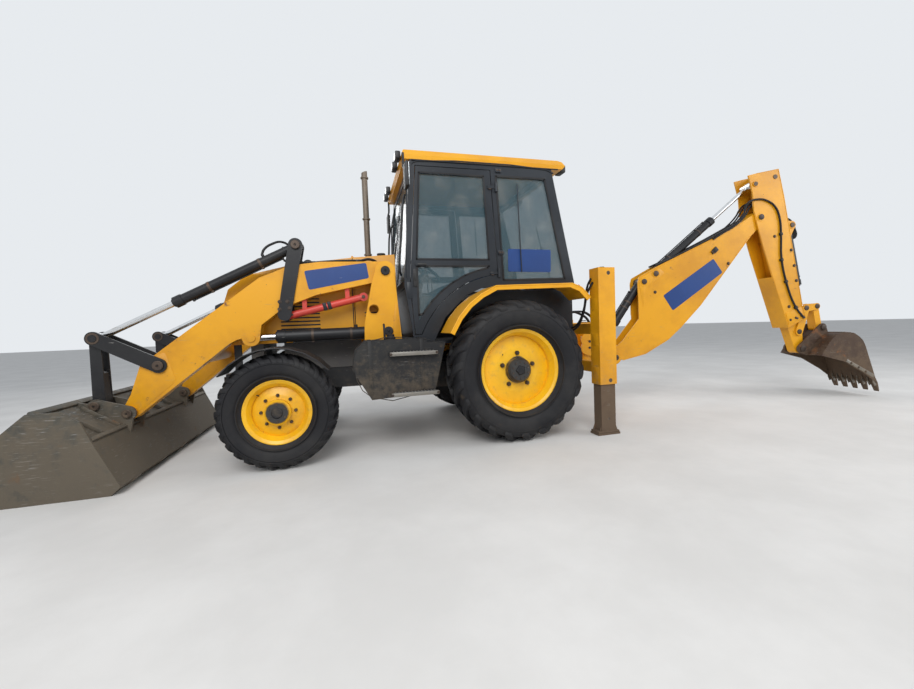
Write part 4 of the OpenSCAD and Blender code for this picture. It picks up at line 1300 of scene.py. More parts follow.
@dataclass(frozen=True)
class Bonnet:
    """Fittings of the bonnet and of the cowl behind it."""

    slat_side: float = 0.431
    nose: float = 2.695
    lamp_side: float = 0.28
    lamp_lean: float = -24
    stack: Point = (1.31, -0.33)
    filler: Point = (1.2, 0.2)

    def build(self) -> None:
        """Models the fittings."""
        self.bonnet()
        self.cowl()

    def bonnet(self) -> None:
        """Louvres, latch, grille, headlamps and vents of the bonnet, which slopes down in two steps."""
        bench = Bench(MACHINE, "bonnet")
        for side in BOTH:
            slat = bench.block((2.02, side * self.slat_side, 1.17), (0.36, 0.004, 0.014), BLACK, 0.001)
            bench.row(slat, (0, 0, 0.036), 9)
            frame_low = bench.block((2.02, side * 0.4315, 1.145), (0.4, 0.005, 0.008), YELLOW, 0.001)
            bench.row(frame_low, (0, 0, 0.338), 2)
            bench.block((1.6, side * 0.432, 1.12), (0.07, 0.01, 0.028), BLACK, 0.003)
            bench.block((1.52, side * 0.4312, 1.38), (0.01, 0.003, 0.62), BLACK, 0.001)
            bench.block((1.56, side * 0.4315, 1.62), (0.09, 0.004, 0.02), BLACK, 0.001)
            bench.plate(
                rounded(((2.3, 1.42), (2.62, 1.36), (2.62, 1.46), (2.56, 1.545), (2.3, 1.6)), 0.02), side * 0.4298,
                side * 0.4335, YELLOW, 0.001)
        for index in range(5):
            bench.block((self.nose, 0, 1.097 + 0.06 * index), (0.006, 0.596, 0.008), BLACK, 0.001)
        for y in (-0.2, 0.0, 0.2):
            bench.block((self.nose + 0.003, y, 1.21), (0.006, 0.012, 0.27), BLACK, 0.001)
        lean = ("Y", self.lamp_lean)
        for side in BOTH:
            y = side * self.lamp_side
            bench.block((2.676, y, 1.47), (0.02, 0.17, 0.11), BLACK, 0.008, lean)
            bench.block((2.684, y, 1.474), (0.014, 0.145, 0.085), CLEAR, 0.008, lean)
        for x in (1.75, 2.05, 2.3):
            top = 1.8675 - 0.145 * max(0.0, x - 1.5) - 0.09 * max(0.0, x - 2.0)
            bench.block((x, 0, top), (0.16, 0.32, 0.004), BLACK, 0.001, ("Y", 9))
        bench.finish("bonnet_fittings")

    def cowl(self) -> None:
        """Clamp rings of the exhaust stack, rivets and slats of the cowl, and the filler cap."""
        bench = Bench(MACHINE, "machine")
        ring = bench.lathe(
            [(0.036, 0), (0.046, 0), (0.046, 0.014), (0.036, 0.014), (0.036, 0)], (*self.stack, 2.02), (0, 0, 1),
            PIPE_RUST, 24)
        bench.copied(ring, Matrix.Translation((0, 0, 0.42)))
        bench.copied(ring, Matrix.Translation((0, 0, 0.9)))
        bench.lathe(
            [(0.052, 0), (0.056, 0.004), (0.056, 0.02), (0.036, 0.05), (0.034, 0.05)], (*self.stack, 1.94), (0, 0, 1),
            PIPE_RUST, 24)
        for side in BOTH:
            rivet = bench.bolt((1.12, side * 0.4295, 1.1), (0, side, 0), 0.02, 0.006, BLACK)
            bench.row(rivet, (0, 0, 0.13), 5)
            slat = bench.block((1.3, side * self.slat_side, 1.14), (0.22, 0.004, 0.012), BLACK, 0.001)
            bench.row(slat, (0, 0, 0.034), 6)
        bench.rod((*self.filler, 1.885), (*self.filler, 1.93), 0.035, PLASTIC, 20)
        bench.rod((*self.filler, 1.925), (*self.filler, 1.945), 0.045, PLASTIC, 20)
        bench.finish("cowl_fittings")


@dataclass(frozen=True)
class LoaderBucket:
    """Cutting edge, ribs, wear strips and pin caps of the loader bucket."""

    slope: Point = (0.245, 0.375)
    cheek: float = 1.1745
    wall: float = 1.166
    rib_pitch: float = 0.245
    half: float = 1.158

    def build(self) -> None:
        """Models the fittings."""
        bench = Bench(MACHINE, "loader_bucket")
        slope = math.degrees(math.atan2(*self.slope))
        for index in range(-4, 5):
            bench.block(
                (3.545, self.rib_pitch * index, 0.5175), (0.3, 0.012, 0.03), BUCKET_STEEL, 0.004, ("Y", -slope))
        bench.block((3.405, 0, 0.4215), (0.035, 2.3, 0.02), BUCKET_STEEL, 0.005, ("Y", -slope))
        bench.block((3.737, 0, 0.6355), (0.05, 2.31, 0.02), BUCKET_STEEL, 0.006, ("Y", -slope))
        for side in BOTH:
            bench.plate(
                ((3.245, 0.052), (3.36, 0.012), (4.02, 0.012), (4.03, 0.066), (3.36, 0.072), (3.275, 0.11)),
                side * self.cheek, side * self.wall, EDGE_STEEL, 0.002)
            bench.plate(
                (
                    (3.6, 0.632), (3.76, 0.632), (3.9, 0.508), (4.078, 0.08), (4.045, 0.08), (3.872, 0.492),
                    (3.748, 0.604), (3.6, 0.604)),
                side * self.cheek, side * self.wall, EDGE_STEEL, 0.002)
        for index in range(5):
            y = -0.92 + 0.46 * index
            bench.plate(
                ((3.248, 0.058), (3.236, 0.052), (3.292, 0.002), (3.62, 0.001), (3.62, 0.004), (3.3, 0.012)),
                y - 0.055, y + 0.055, EDGE_STEEL, 0.001)
        bench.plate(
            ((3.97, 0.016), (4.086, 0.003), (4.086, 0.01), (4.06, 0.034), (3.97, 0.034)), -self.half, self.half,
            EDGE_STEEL, 0.003)
        for index in range(11):
            bench.bolt((4.0, -1.05 + 0.21 * index, 0.034), (0, 0, 1), 0.03, 0.008, EDGE_STEEL, False)
        for side in ARM_SIDES:
            for point in ((3.38, 0.52), (3.6, 0.6)):
                bench.pin_ends(point, side, 0.1305, 0.036)
        bench.finish("loader_bucket_fittings")


@dataclass(frozen=True)
class LoaderArms:
    """Fittings of the loader's arms, strut and rockers, and its cylinders."""

    half: float = 0.06
    pivot: Point = (1.207, 1.697)
    rocker: Point = (3.15, 0.9)
    crowd: Point = (2.006, 1.935)
    inward: float = 0.04
    pitch: float = 0.028

    def build(self) -> None:
        """Models the fittings."""
        self.arms()
        self.strut()
        self.rockers()
        LoaderRam.between("lift", (1.201, 1.116), (2.425, 1.102), 1.01, 0.055, 0.032).build()
        LoaderRam.between("crowd", self.crowd, (3.6, 1.15), 1.13, 0.043, 0.026).build()
        self.crowd_hoses()

    def arms(self) -> None:
        """Weld rings, doublers, pipes, hoses and bolts of both arms, and the pipe across them."""
        bench = Bench(MACHINE, "loader_arms")
        for side in ARM_SIDES:
            for out in BOTH:
                face = side + out * self.half
                for inner, outer, (u, w), steps in ((0.064, 0.086, self.pivot, 36), (0.051, 0.062, self.rocker, 30)):
                    ring = [
                        (inner, -0.001), (outer, -0.001), (outer - 0.002, 0.0035), (inner + 0.002, 0.0035),
                        (inner, -0.001)]
                    bench.lathe(ring, (u, face, w), (0, out, 0), ARM_YELLOW, steps)
                doubler = rounded(
                    ((3.03, 0.76), (3.1, 1.02), (3.28, 0.94), (3.4, 0.585), (3.36, 0.5), (3.27, 0.555)), 0.04)
                bench.plate(doubler, face, face + out * 0.0025, ARM_YELLOW, 0.001)
            seam = [(1.3, 1.594), (1.6, 1.532), (1.85, 1.48), (2.12, 1.378), (2.33, 1.222)]
            bench.hose([(u, side + 0.055, w + 0.006) for u, w in seam], 0.005, ARM_YELLOW, 4)
            pipe = [(1.42, 1.812), (1.62, 1.808), (1.8, 1.797), (1.96, 1.775)]
            inner = side - math.copysign(self.inward, side)
            routes = [inner + math.copysign(shift, side) for shift in (0.0, self.pitch)]
            for y in routes:
                bench.hose([(u, y, w) for u, w in pipe], 0.009, BLACK, 5)
            for u, w in ((1.46, 1.802), (1.86, 1.784)):
                bench.block((u, inner + math.copysign(0.014, side), w), (0.035, 0.075, 0.03), BLACK, 0.003)
            bend = ((1.42, 0.0, 1.812), (1.34, 0.01, 1.825), (1.26, 0.05, 1.79), (1.215, 0.085, 1.7))
            for y in routes:
                bench.hose([(u, y - math.copysign(inward, side), w) for u, inward, w in bend], 0.011, HOSE, 8)
        for side in ARM_SIDES:
            bench.pin_ends(self.crowd, side, 0.09, 0.04)
            for u, w in ((2.1, 1.42), (2.165, 1.42), (2.085, 1.36), (2.17, 1.352)):
                for out in BOTH:
                    bench.bolt((u, side + out * 0.0782, w), (0, out, 0), 0.026, 0.012)
        bench.hose(
            [(2.86, 0.519, 1.035), (2.86, 0.2, 1.052), (2.86, -0.2, 1.052), (2.86, -0.519, 1.035)], 0.009, BLACK, 6)
        for y in (0.512, -0.52):
            bench.lathe(
                [(0.088, 0), (0.1, 0), (0.096, 0.008), (0.086, 0.008), (0.088, 0)], (2.935, y, 0.96), (0, 1, 0),
                ARM_YELLOW, 32)
        bench.finish("arm_fittings")

    def strut(self) -> None:
        """Clips and pins of the maintenance strut on the left arm."""
        bench = Bench(MACHINE, "loader_arms")
        for share in (0.46, 0.52):
            u, w = 1.42 + share * 0.69, 1.455 - share * 0.165
            bench.block((u, 0.59, w), (0.034, 0.0715, 0.0715), BLACK, 0.004, ("Y", 13.4))
        bench.rod((1.422, 0.552, 1.455), (1.422, 0.632, 1.455), 0.016, BOLT_STEEL)
        bench.rod((2.07, 0.548, 1.302), (2.07, 0.634, 1.302), 0.01, BOLT_STEEL)
        bench.finish("strut_fittings")

    def rockers(self) -> None:
        """Pin caps of the bucket's rockers."""
        bench = Bench(MACHINE, "bucket_rockers")
        for side in ARM_SIDES:
            bench.pin_ends(self.rocker, side, 0.092, 0.042)
            for out in BOTH:
                bench.collar(0.031, 0.048, (3.6, side + out * 0.0838, 1.15), (0, out, 0), BOLT_STEEL, 24, base=0)
        bench.finish("rocker_caps")

    def crowd_hoses(self) -> None:
        """Hoses from the arms' pipes to the ports of the tilting cylinders."""
        bench = Bench(MACHINE, "loader_arms")
        for side in ARM_SIDES:
            over = (
                (1.88, 0.04, 1.789), (1.93, 0.062, 1.79), (1.99, 0.093, 1.815), (2.045, 0.096, 1.875),
                (2.069, 0.093, 1.945), (2.136, 0.07, 1.988), (2.22, 0.035, 1.962), (2.285, 0.006, 1.905),
                (2.303, 0.0, 1.862))
            under = (
                (1.88, 0.012, 1.789), (1.95, 0.012, 1.785), (2.03, 0.008, 1.788), (2.09, 0.0, 1.795),
                (2.122, 0.0, 1.808))
            for route in (over, under):
                bench.hose([(u, side - math.copysign(inward, side), w) for u, inward, w in route], 0.011, HOSE, 8)
        piece = bench.finish("crowd_hoses", (), False)
        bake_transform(piece)


@dataclass(frozen=True)
class Ram:
    """What all cylinders' barrels carry, in a frame along the cylinder.

    Attributes:
        name: Name of the piece.
        body: Body of the barrel.
        placing: Frame along the cylinder from its base pin.
        barrel: Distance from the base pin to the barrel's mouth.
        radius: Radius of the barrel.
        rod: Radius of the rod.
    """

    name: str
    body: str
    placing: Placing
    barrel: float
    radius: float
    rod: float

    def gland(self, bench: Bench, side: float) -> None:
        """Ring that closes the barrel's mouth.

        Args:
            bench: Bench to build on.
            side: Middle of the arm or barrel across the machine.
        """
        low, flange, top = self.rod + 0.0012, self.radius * 0.84, self.rod + 0.004
        profile = [
            (low, -0.004), (self.radius * 0.8, -0.004), (flange, 0.001), (flange, 0.01), (top, 0.014), (low, 0.014),
            (low, -0.004)]
        bench.lathe(profile, (self.barrel + 0.002, side, 0), (1, 0, 0), BLACK, 28)

    def band(
        self, bench: Bench, at: float, side: float, rise: float, chamfer: float, length: float, finish: Finish
    ) -> None:
        """A band round the barrel.

        Args:
            bench: Bench to build on.
            at: Where it begins along the cylinder.
            side: Middle of the barrel across the plane.
            rise: Height above the barrel.
            chamfer: Length of the chamfer at each end.
            length: Length of the band.
            finish: Finish of the band.
        """
        low, high = self.radius - 0.001, self.radius + rise
        profile = [(low, 0), (high, chamfer), (high, length - chamfer), (low, length)]
        bench.lathe(profile, (at, side, 0), (1, 0, 0), finish, 28)


@dataclass(frozen=True)
class LoaderRam(Ram):
    """Gland, ports and pipe under each barrel of a pair of loader cylinders."""

    @classmethod
    def between(cls, name: str, base: Point, eye: Point, barrel: float, radius: float, rod: float) -> "LoaderRam":
        """The pair between two pins.

        Args:
            name: Prefix of the bodies' names.
            base: Side view place of the pin at the barrel's end.
            eye: Side view place of the pin at the rod's end.
            barrel: Distance from the base pin to the barrel's mouth.
            radius: Radius of the barrel.
            rod: Radius of the rod.

        Returns:
            The pair of cylinders.
        """
        start, end = Vector((base[0], 0, base[1])), Vector((eye[0], 0, eye[1]))
        along = (end - start).normalized()
        placing = Placing(MACHINE.point(*start), along, Vector((0, -1, 0)).cross(along))
        return cls(f"{name}_barrel_fittings", f"{name}_barrels", placing, barrel, radius, rod)

    def build(self) -> None:
        """Models the fittings."""
        bench = Bench(self.placing, self.body)
        base_port, mouth_port, under = 0.16, self.barrel - 0.14, -0.0065 - self.radius
        for side in ARM_SIDES:
            self.gland(bench, side)
            for at in (0.1, self.barrel - 0.055):
                self.band(bench, at, side, 0.005, 0.002, 0.018, BLACK)
            for at in (base_port, mouth_port):
                bench.rod((at, side, 0.004 - self.radius), (at, side, -0.015 - self.radius), 0.012, BLACK, 12)
            bench.rod((0.3, side, self.radius - 0.004), (0.3, side, self.radius + 0.024), 0.014, BLACK, 12)
            bench.hose([(mouth_port, side, under), (base_port, side, under)], 0.0065, BLACK, 1, False)
            for at in (0.34, self.barrel - 0.32):
                self.band(bench, at, side, 0.003, 0, 0.022, BOLT_STEEL)
                bench.block((at + 0.011, side, -0.005 - self.radius), (0.022, 0.03, 0.018), BOLT_STEEL, 0.003)
        bench.finish(self.name)


@dataclass(frozen=True)
class DiggingRam(Ram):
    """Gland, ports and pipe of one cylinder of the digging arm.

    Attributes:
        sign: 1 where the ports lie on the upper side, -1 on the lower.
    """

    sign: int = 1

    def build(self) -> None:
        """Models the fittings."""
        bench = Bench(self.placing, self.body)
        base_port, mouth_port, pipe = 0.18, self.barrel - 0.11, self.sign * (self.radius + 0.011)
        self.gland(bench, 0)
        for at in (0.12, self.barrel - 0.06):
            self.band(bench, at, 0, 0.004, 0.002, 0.018, BLACK)
        for at in (base_port, mouth_port):
            bench.rod(
                (at, 0, self.sign * (self.radius - 0.004)), (at, 0, self.sign * (self.radius + 0.018)), 0.012, BLACK,
                12)
        bench.hose([(mouth_port, 0, pipe), (0.3, 0, pipe), (base_port, 0, pipe)], 0.007, BLACK, 5)
        for at in (0.3, self.barrel - 0.26):
            self.band(bench, at, 0, 0.003, 0, 0.02, BOLT_STEEL)
        bench.finish(self.name)


@dataclass(frozen=True)
class Tower:
    """Pin caps, bolts and hoses of the loader's tower."""

    outer: float = 0.086
    inner: float = 0.1
    hose_pitch: float = 0.024

    def build(self) -> None:
        """Models the fittings."""
        bench = Bench(MACHINE, "machine")
        for side in ARM_SIDES:
            out = math.copysign(1, side)
            for point in ((1.207, 1.697), (1.201, 1.116)):
                bench.pin_ends(point, side, 0.098, 0.044, BLACK)
            face = side + out * self.outer
            for u, w in ((1.1, 0.8), (1.2, 0.8), (1.3, 0.8), (1.4, 0.8), (1.4, 0.9), (1.1, 0.9)):
                bench.bolt((u, face, w), (0, out, 0), 0.032, 0.014)
            bench.collar(0.0455, 0.056, (1.33, face, 1.33), (0, out, 0), ARM_YELLOW, 28, height=0.003)
            brace = rounded(((1.085, 1.03), (1.16, 1.03), (1.15, 1.24), (1.12, 1.38), (1.1, 1.38)), 0.02)
            bench.plate(brace, face, face + out * 0.004, ARM_YELLOW, 0.001)
            inner = side - out * self.inner
            for index in range(3):
                y = inner - out * (0.012 + self.hose_pitch * index)
                bench.hose(
                    [(1.2, y, 0.8), (1.19, y, 1.1), (1.16, y, 1.38), (1.17, y, 1.6), (1.215, y, 1.7)], 0.011, HOSE, 8)
            for u, w in ((1.165, 1.4), (1.195, 1.02)):
                bench.block((u, inner - out * 0.036, w), (0.03, 0.085, 0.04), BLACK, 0.003)
        bench.finish("tower_fittings")


@dataclass(frozen=True)
class SideTanks:
    """Steps, filler caps and straps of the side tanks."""

    step_heights: Point = (0.5205, 0.8905)
    step_side: float = 0.96
    wall: float = 0.9305

    def build(self) -> None:
        """Models the fittings."""
        bench = Bench(MACHINE, "machine")
        for side in BOTH:
            for z in self.step_heights:
                bench.block((1.01, side * self.step_side, z + 0.031), (0.4, 0.05, 0.004), GREY_IRON, 0.001)
                tooth = bench.block(
                    (0.83, side * self.step_side, z + 0.0345), (0.008, 0.046, 0.006), EDGE_STEEL, 0.002)
                bench.row(tooth, (0.03, 0, 0), 13)
                bench.block((1.01, side * 0.9895, z + 0.015), (0.436, 0.005, 0.034), EDGE_STEEL, 0.002)
                for x in (0.8, 1.22):
                    bench.bolt((x, side * 0.991, z + 0.015), (0, side, 0), 0.02, 0.008)
            bench.rod((1.2, side * 0.83, 1.038), (1.2, side * 0.83, 1.062), 0.045, BLACK, 24)
            bench.rod((1.2, side * 0.83, 1.058), (1.2, side * 0.83, 1.085), 0.036, BLACK, 12)
            for x in (0.93, 1.4):
                bench.block((x, side * 0.827, 1.0415), (0.035, 0.2, 0.004), TANK_BLACK, 0.001)
                bench.block((x, side * 0.931, 0.79), (0.035, 0.006, 0.49), TANK_BLACK, 0.001)
            seam = (
                (0.72, 0.985), (0.88, 1.025), (1.43, 1.025), (1.515, 0.955), (1.545, 0.79), (1.4, 0.525), (0.83, 0.55)
            )
            bench.hose([(u, side * self.wall, w) for u, w in seam], 0.004, TANK_BLACK, 3)
            bench.hose(
                [(1.26, side * 0.9, 1.04), (1.262, side * 0.9, 1.16), (1.262, side * 0.88, 1.18)], 0.01, BLACK, 6)
        bench.finish("tank_fittings")


@dataclass(frozen=True)
class Cab:
    """Seals, gutters, handles, hinges, wipers and rails of the cab."""

    face: float = 0.7195
    seal: float = 0.004
    arch: float = 1.0415
    axle_height: float = 0.69
    upper: tuple[Point, ...] = ((0.165, 1.8), (0.905, 1.8), (0.85, 2.63), (0.195, 2.63))
    quarter: tuple[Point, ...] = ((0.012, 1.592), (0.06, 2.638), (-0.48, 2.638), (-0.688, 1.602))

    def build(self) -> None:
        """Models the fittings."""
        for side, word in SIDES:
            self.door(side, word)
        self.walls()

    def walls(self) -> None:
        """Window seals, gutters, hinges, rails and wipers."""
        bench = Bench(MACHINE, "machine")
        for side in BOTH:
            bench.strip(self.quarter, side * self.face, side * self.seal, 0.02)
            bench.block((-0.18, side * 0.7215, 2.12), (0.012, 0.006, 0.9), CAB_BLACK, 0.002, ("Y", 1.5))
            gutter = ((1.005, 1.62), (0.925, 2.7), (0.86, 2.735), (-0.5, 2.735), (-0.585, 2.7))
            bench.hose([(u, side * 0.722, w) for u, w in gutter], 0.008, CAB_BLACK, 3)
            bench.block((0.985, side * 0.7205, 1.5), (0.05, 0.006, 0.16), CAB_BLACK, 0.003)
            for z in (1.87, 2.695):
                bench.block((0.035, side * 0.728, z), (0.06, 0.016, 0.045), CAB_BLACK, 0.004)
                for x in (0.022, 0.048):
                    bench.bolt((x, side * 0.736, z), (0, side, 0), 0.016, 0.006)
            rail = [
                (1.045, side * 0.6, 1.66), (1.062, side * 0.64, 1.7), (1.035, side * 0.652, 2.05),
                (0.99, side * 0.645, 2.42), (0.965, side * 0.6, 2.45)]
            bench.hose(rail, 0.012, PLASTIC, 8)
        bench.hose([(1.026, -0.3, 1.63), (1.04, -0.29, 1.66), (1.0, -0.1, 2.12)], 0.007, PLASTIC, 6)
        bench.block((0.9915, -0.09, 2.13), (0.01, 0.014, 0.62), PLASTIC, 0.002, ("Y", -7.6))
        bench.block((1.036, -0.3, 1.61), (0.03, 0.06, 0.04), PLASTIC, 0.006)
        bench.hose([(-0.792, 0.2, 1.66), (-0.765, 0.14, 1.95), (-0.74, 0.1, 2.05)], 0.007, PLASTIC, 6)
        bench.block((-0.733, 0.09, 2.08), (0.01, 0.014, 0.48), PLASTIC, 0.002, ("Y", 12.6))
        bench.finish("cab_fittings")

    def lower_pane(self) -> list[Point]:
        """Corners of a door's lower pane, curved round the wheel.

        Returns:
            The pane's corners as (along, up).
        """
        angles = [math.radians(a) for a in (34, 42, 50, 58, 66, 74, 80)]
        arc = [(self.arch * math.cos(a), self.axle_height + self.arch * math.sin(a)) for a in angles]
        return [(0.905, 1.735), (0.905, 1.26), *arc, (0.165, 1.735)]

    def door(self, side: int, word: str) -> None:
        """Seals, handle and hinge bolts of one door.

        Args:
            side: 1 for the left, -1 for the right.
            word: Name of the side.
        """
        bench = Bench(MACHINE, f"{word}_door")
        for pane in (self.upper, self.lower_pane()):
            bench.strip(pane, side * self.face, side * self.seal, 0.018)
        bench.block((0.93, side * 0.7255, 1.62), (0.034, 0.012, 0.17), PLASTIC, 0.012)
        bench.block((0.93, side * 0.735, 1.645), (0.018, 0.016, 0.1), PLASTIC, 0.006)
        bench.block((0.86, side * 0.7445, 1.748), (0.085, 0.01, 0.02), PLASTIC, 0.006)
        for z in (1.63, 2.49):
            for x in (0.14, 0.125):
                bench.bolt((x, side * 0.7295, z + 0.015), (0, side, 0), 0.014, 0.005, BOLT_STEEL, False)
        bench.finish(f"{word}_door_fittings")


@dataclass(frozen=True)
class RoofFittings:
    """Work lamps, beacon, mirrors, ribs and gutter seals of the roof."""

    beacon: tuple[float, float, float] = (0.64, 0.3, 2.88)
    mirror: tuple[float, float, float] = (0.995, 0.875, 2.535)

    def build(self) -> None:
        """Models the fittings."""
        self.lamps_and_mirrors()
        self.ribs()

    def lamps_and_mirrors(self) -> None:
        """Four lamps in front and two behind, the beacon, and the mirrors on their arms."""
        bench = Bench(MACHINE, "machine")
        front = bench.block((1.0375, 0.365, 2.8025), (0.052, 0.128, 0.073), PLASTIC, 0.012)
        lens = bench.block((1.061, 0.365, 2.8025), (0.006, 0.108, 0.056), CLEAR, 0.002)
        for item in (front, lens):
            for move in (0.26, -0.73, -0.99):
                bench.copied(item, Matrix.Translation((0, move, 0)))
        rear = bench.block((-0.755, 0.565, 2.8), (0.068, 0.128, 0.078), PLASTIC, 0.012)
        rear_lens = bench.block((-0.7875, 0.565, 2.8), (0.006, 0.108, 0.06), CLEAR, 0.002)
        for item in (rear, rear_lens):
            bench.copied(item, Matrix.Translation((0, -1.13, 0)))
        base = [(0, 0), (0.052, 0), (0.055, 0.004), (0.055, 0.018), (0.046, 0.022), (0, 0.022)]
        lens = [(0, 0.02), (0.044, 0.02), (0.046, 0.026), (0.043, 0.074), (0.036, 0.086), (0.0, 0.09)]
        bench.lathe(base, self.beacon, (0, 0, 1), PLASTIC, 32)
        bench.lathe(lens, self.beacon, (0, 0, 1), AMBER, 32)
        for side in BOTH:
            arm = ((0.732, 2.8), (0.742, 2.66), (0.8, 2.652), (0.846, 2.652))
            bench.hose([(0.997, side * v, w) for v, w in arm], 0.0115, PLASTIC, 8)
            x, y, z = self.mirror
            bench.block((x, side * y, z), (0.036, 0.146, 0.226), PLASTIC, 0.016)
            bench.block((x - 0.0185, side * y, z), (0.004, 0.126, 0.205), MIRROR, 0.001)
        bench.finish("roof_lamps", ("lamps_and_mirrors",))

    def ribs(self) -> None:
        """Ribs and hatch on the roof, and the seals under its gutters."""
        bench = Bench(MACHINE, "machine")
        for x in (-0.45, 0.0, 0.45):
            bench.block((x, 0, 2.8805), (0.05, 0.9, 0.006), YELLOW, 0.002)
        bench.plate(
            rounded(((-0.3, 2.8795), (0.3, 2.8795), (0.26, 2.89), (-0.26, 2.89)), 0.004), -0.26, 0.26, YELLOW, 0.002)
        for side in BOTH:
            bench.block((0.14, side * 0.7255, 2.744), (1.56, 0.012, 0.01), SEAL, 0.002)
        bench.finish("roof_fittings")


@dataclass(frozen=True)
class CabInside:
    """Steering wheel, consoles, levers, pedals and dials."""

    hub: tuple[float, float, float] = (0.69, 0, 1.79)
    rake: float = -35
    rim: float = 0.185
    grip: float = 0.016

    def build(self) -> None:
        """Models the controls and the mat."""
        self.controls()
        self.floor_mat()

    def controls(self) -> None:
        """The steering wheel, modelled flat and then leant, and the consoles with their levers."""
        bench = Bench(MACHINE, "machine")
        place = Matrix.Translation(self.hub) @ Matrix.Rotation(math.radians(self.rake), 4, "Y")
        wheel = Bench(MACHINE, "machine")
        angles = [math.tau * i / 12 for i in range(13)]
        ring = [(self.rim + self.grip * math.cos(a), self.grip * math.sin(a)) for a in angles]
        wheel.lathe(ring, (0, 0, 0), (0, 0, 1), PLASTIC, 48)
        for index in range(3):
            spoke = wheel.block((0.1, 0, -0.006), (0.18, 0.036, 0.014), PLASTIC, 0.005)
            spoke.data.transform(Matrix.Rotation(math.tau * index / 3, 4, "Z"))
        boss = [(0, 0.012), (0.03, 0.01), (0.044, 0.0), (0.046, -0.02), (0.03, -0.05), (0.03, -0.25)]
        wheel.lathe(boss, (0, 0, 0), (0, 0, 1), PLASTIC, 28)
        wheel.rod((0.1, 0.155, 0.01), (0.1, 0.155, 0.055), 0.018, PLASTIC, 16)
        for part in wheel.parts:
            part.data.transform(place)
            bench.parts.append(part)
        bench.block((0.81, 0, 1.3), (0.112, 0.212, 0.6), PLASTIC, 0.02)
        bench.block((0.8, 0, 1.6), (0.1, 0.3, 0.1), PLASTIC, 0.025, ("Y", -25))
        for y in (-0.08, 0.0, 0.08):
            bench.lathe(
                [(0, 0.003), (0.026, 0.003), (0.031, 0.006), (0.034, 0.0)], (0.755, y, 1.615), (-0.9, 0, 0.42), CLEAR,
                20)
        bench.block((0.58, -0.55, 1.278), (0.392, 0.174, 0.552), PLASTIC, 0.02)
        bench.block((0.56, -0.55, 1.565), (0.34, 0.15, 0.02), BLACK, 0.006)
        knob = [(0, 0), (0.013, 0.003), (0.021, 0.02), (0.021, 0.036), (0.012, 0.048), (0, 0.05)]
        for x, y in ((0.56, -0.52), (0.5, -0.56)):
            bench.hose([(x, y, 1.555), (x + 0.005, y, 1.66), (x - 0.005, y, 1.75)], 0.007, BLACK, 6)
            bench.lathe(knob, (x - 0.004, y, 1.715), (0, 0, 1), PLASTIC, 18)
        bench.block((-0.68, 0, 1.19), (0.176, 0.796, 0.376), PLASTIC, 0.02)
        knob = [(0, 0), (0.014, 0.003), (0.022, 0.02), (0.022, 0.038), (0.012, 0.05), (0, 0.052)]
        for y in (-0.12, 0.12):
            bench.hose([(-0.64, y, 1.375), (-0.63, y, 1.5), (-0.64, y, 1.63)], 0.009, BLACK, 6)
            bench.lathe(knob, (-0.64, y, 1.588), (0, 0, 1), PLASTIC, 18)
        for y in (-0.3, 0.3):
            bench.block((-0.68, y, 1.386), (0.06, 0.04, 0.012), BLACK, 0.003)
        bench.finish("cab_controls", ("controls",))

    def floor_mat(self) -> None:
        """Floor mat and pedals."""
        bench = Bench(MACHINE, "machine")
        bench.block((0.06, 0, 1.004), (1.3, 1.2, 0.006), PLASTIC, 0.002)
        for y in (0.16, 0.24):
            bench.block((0.72, y, 1.1), (0.012, 0.06, 0.09), PLASTIC, 0.004, ("Y", 30))
        bench.finish("floor_mat")


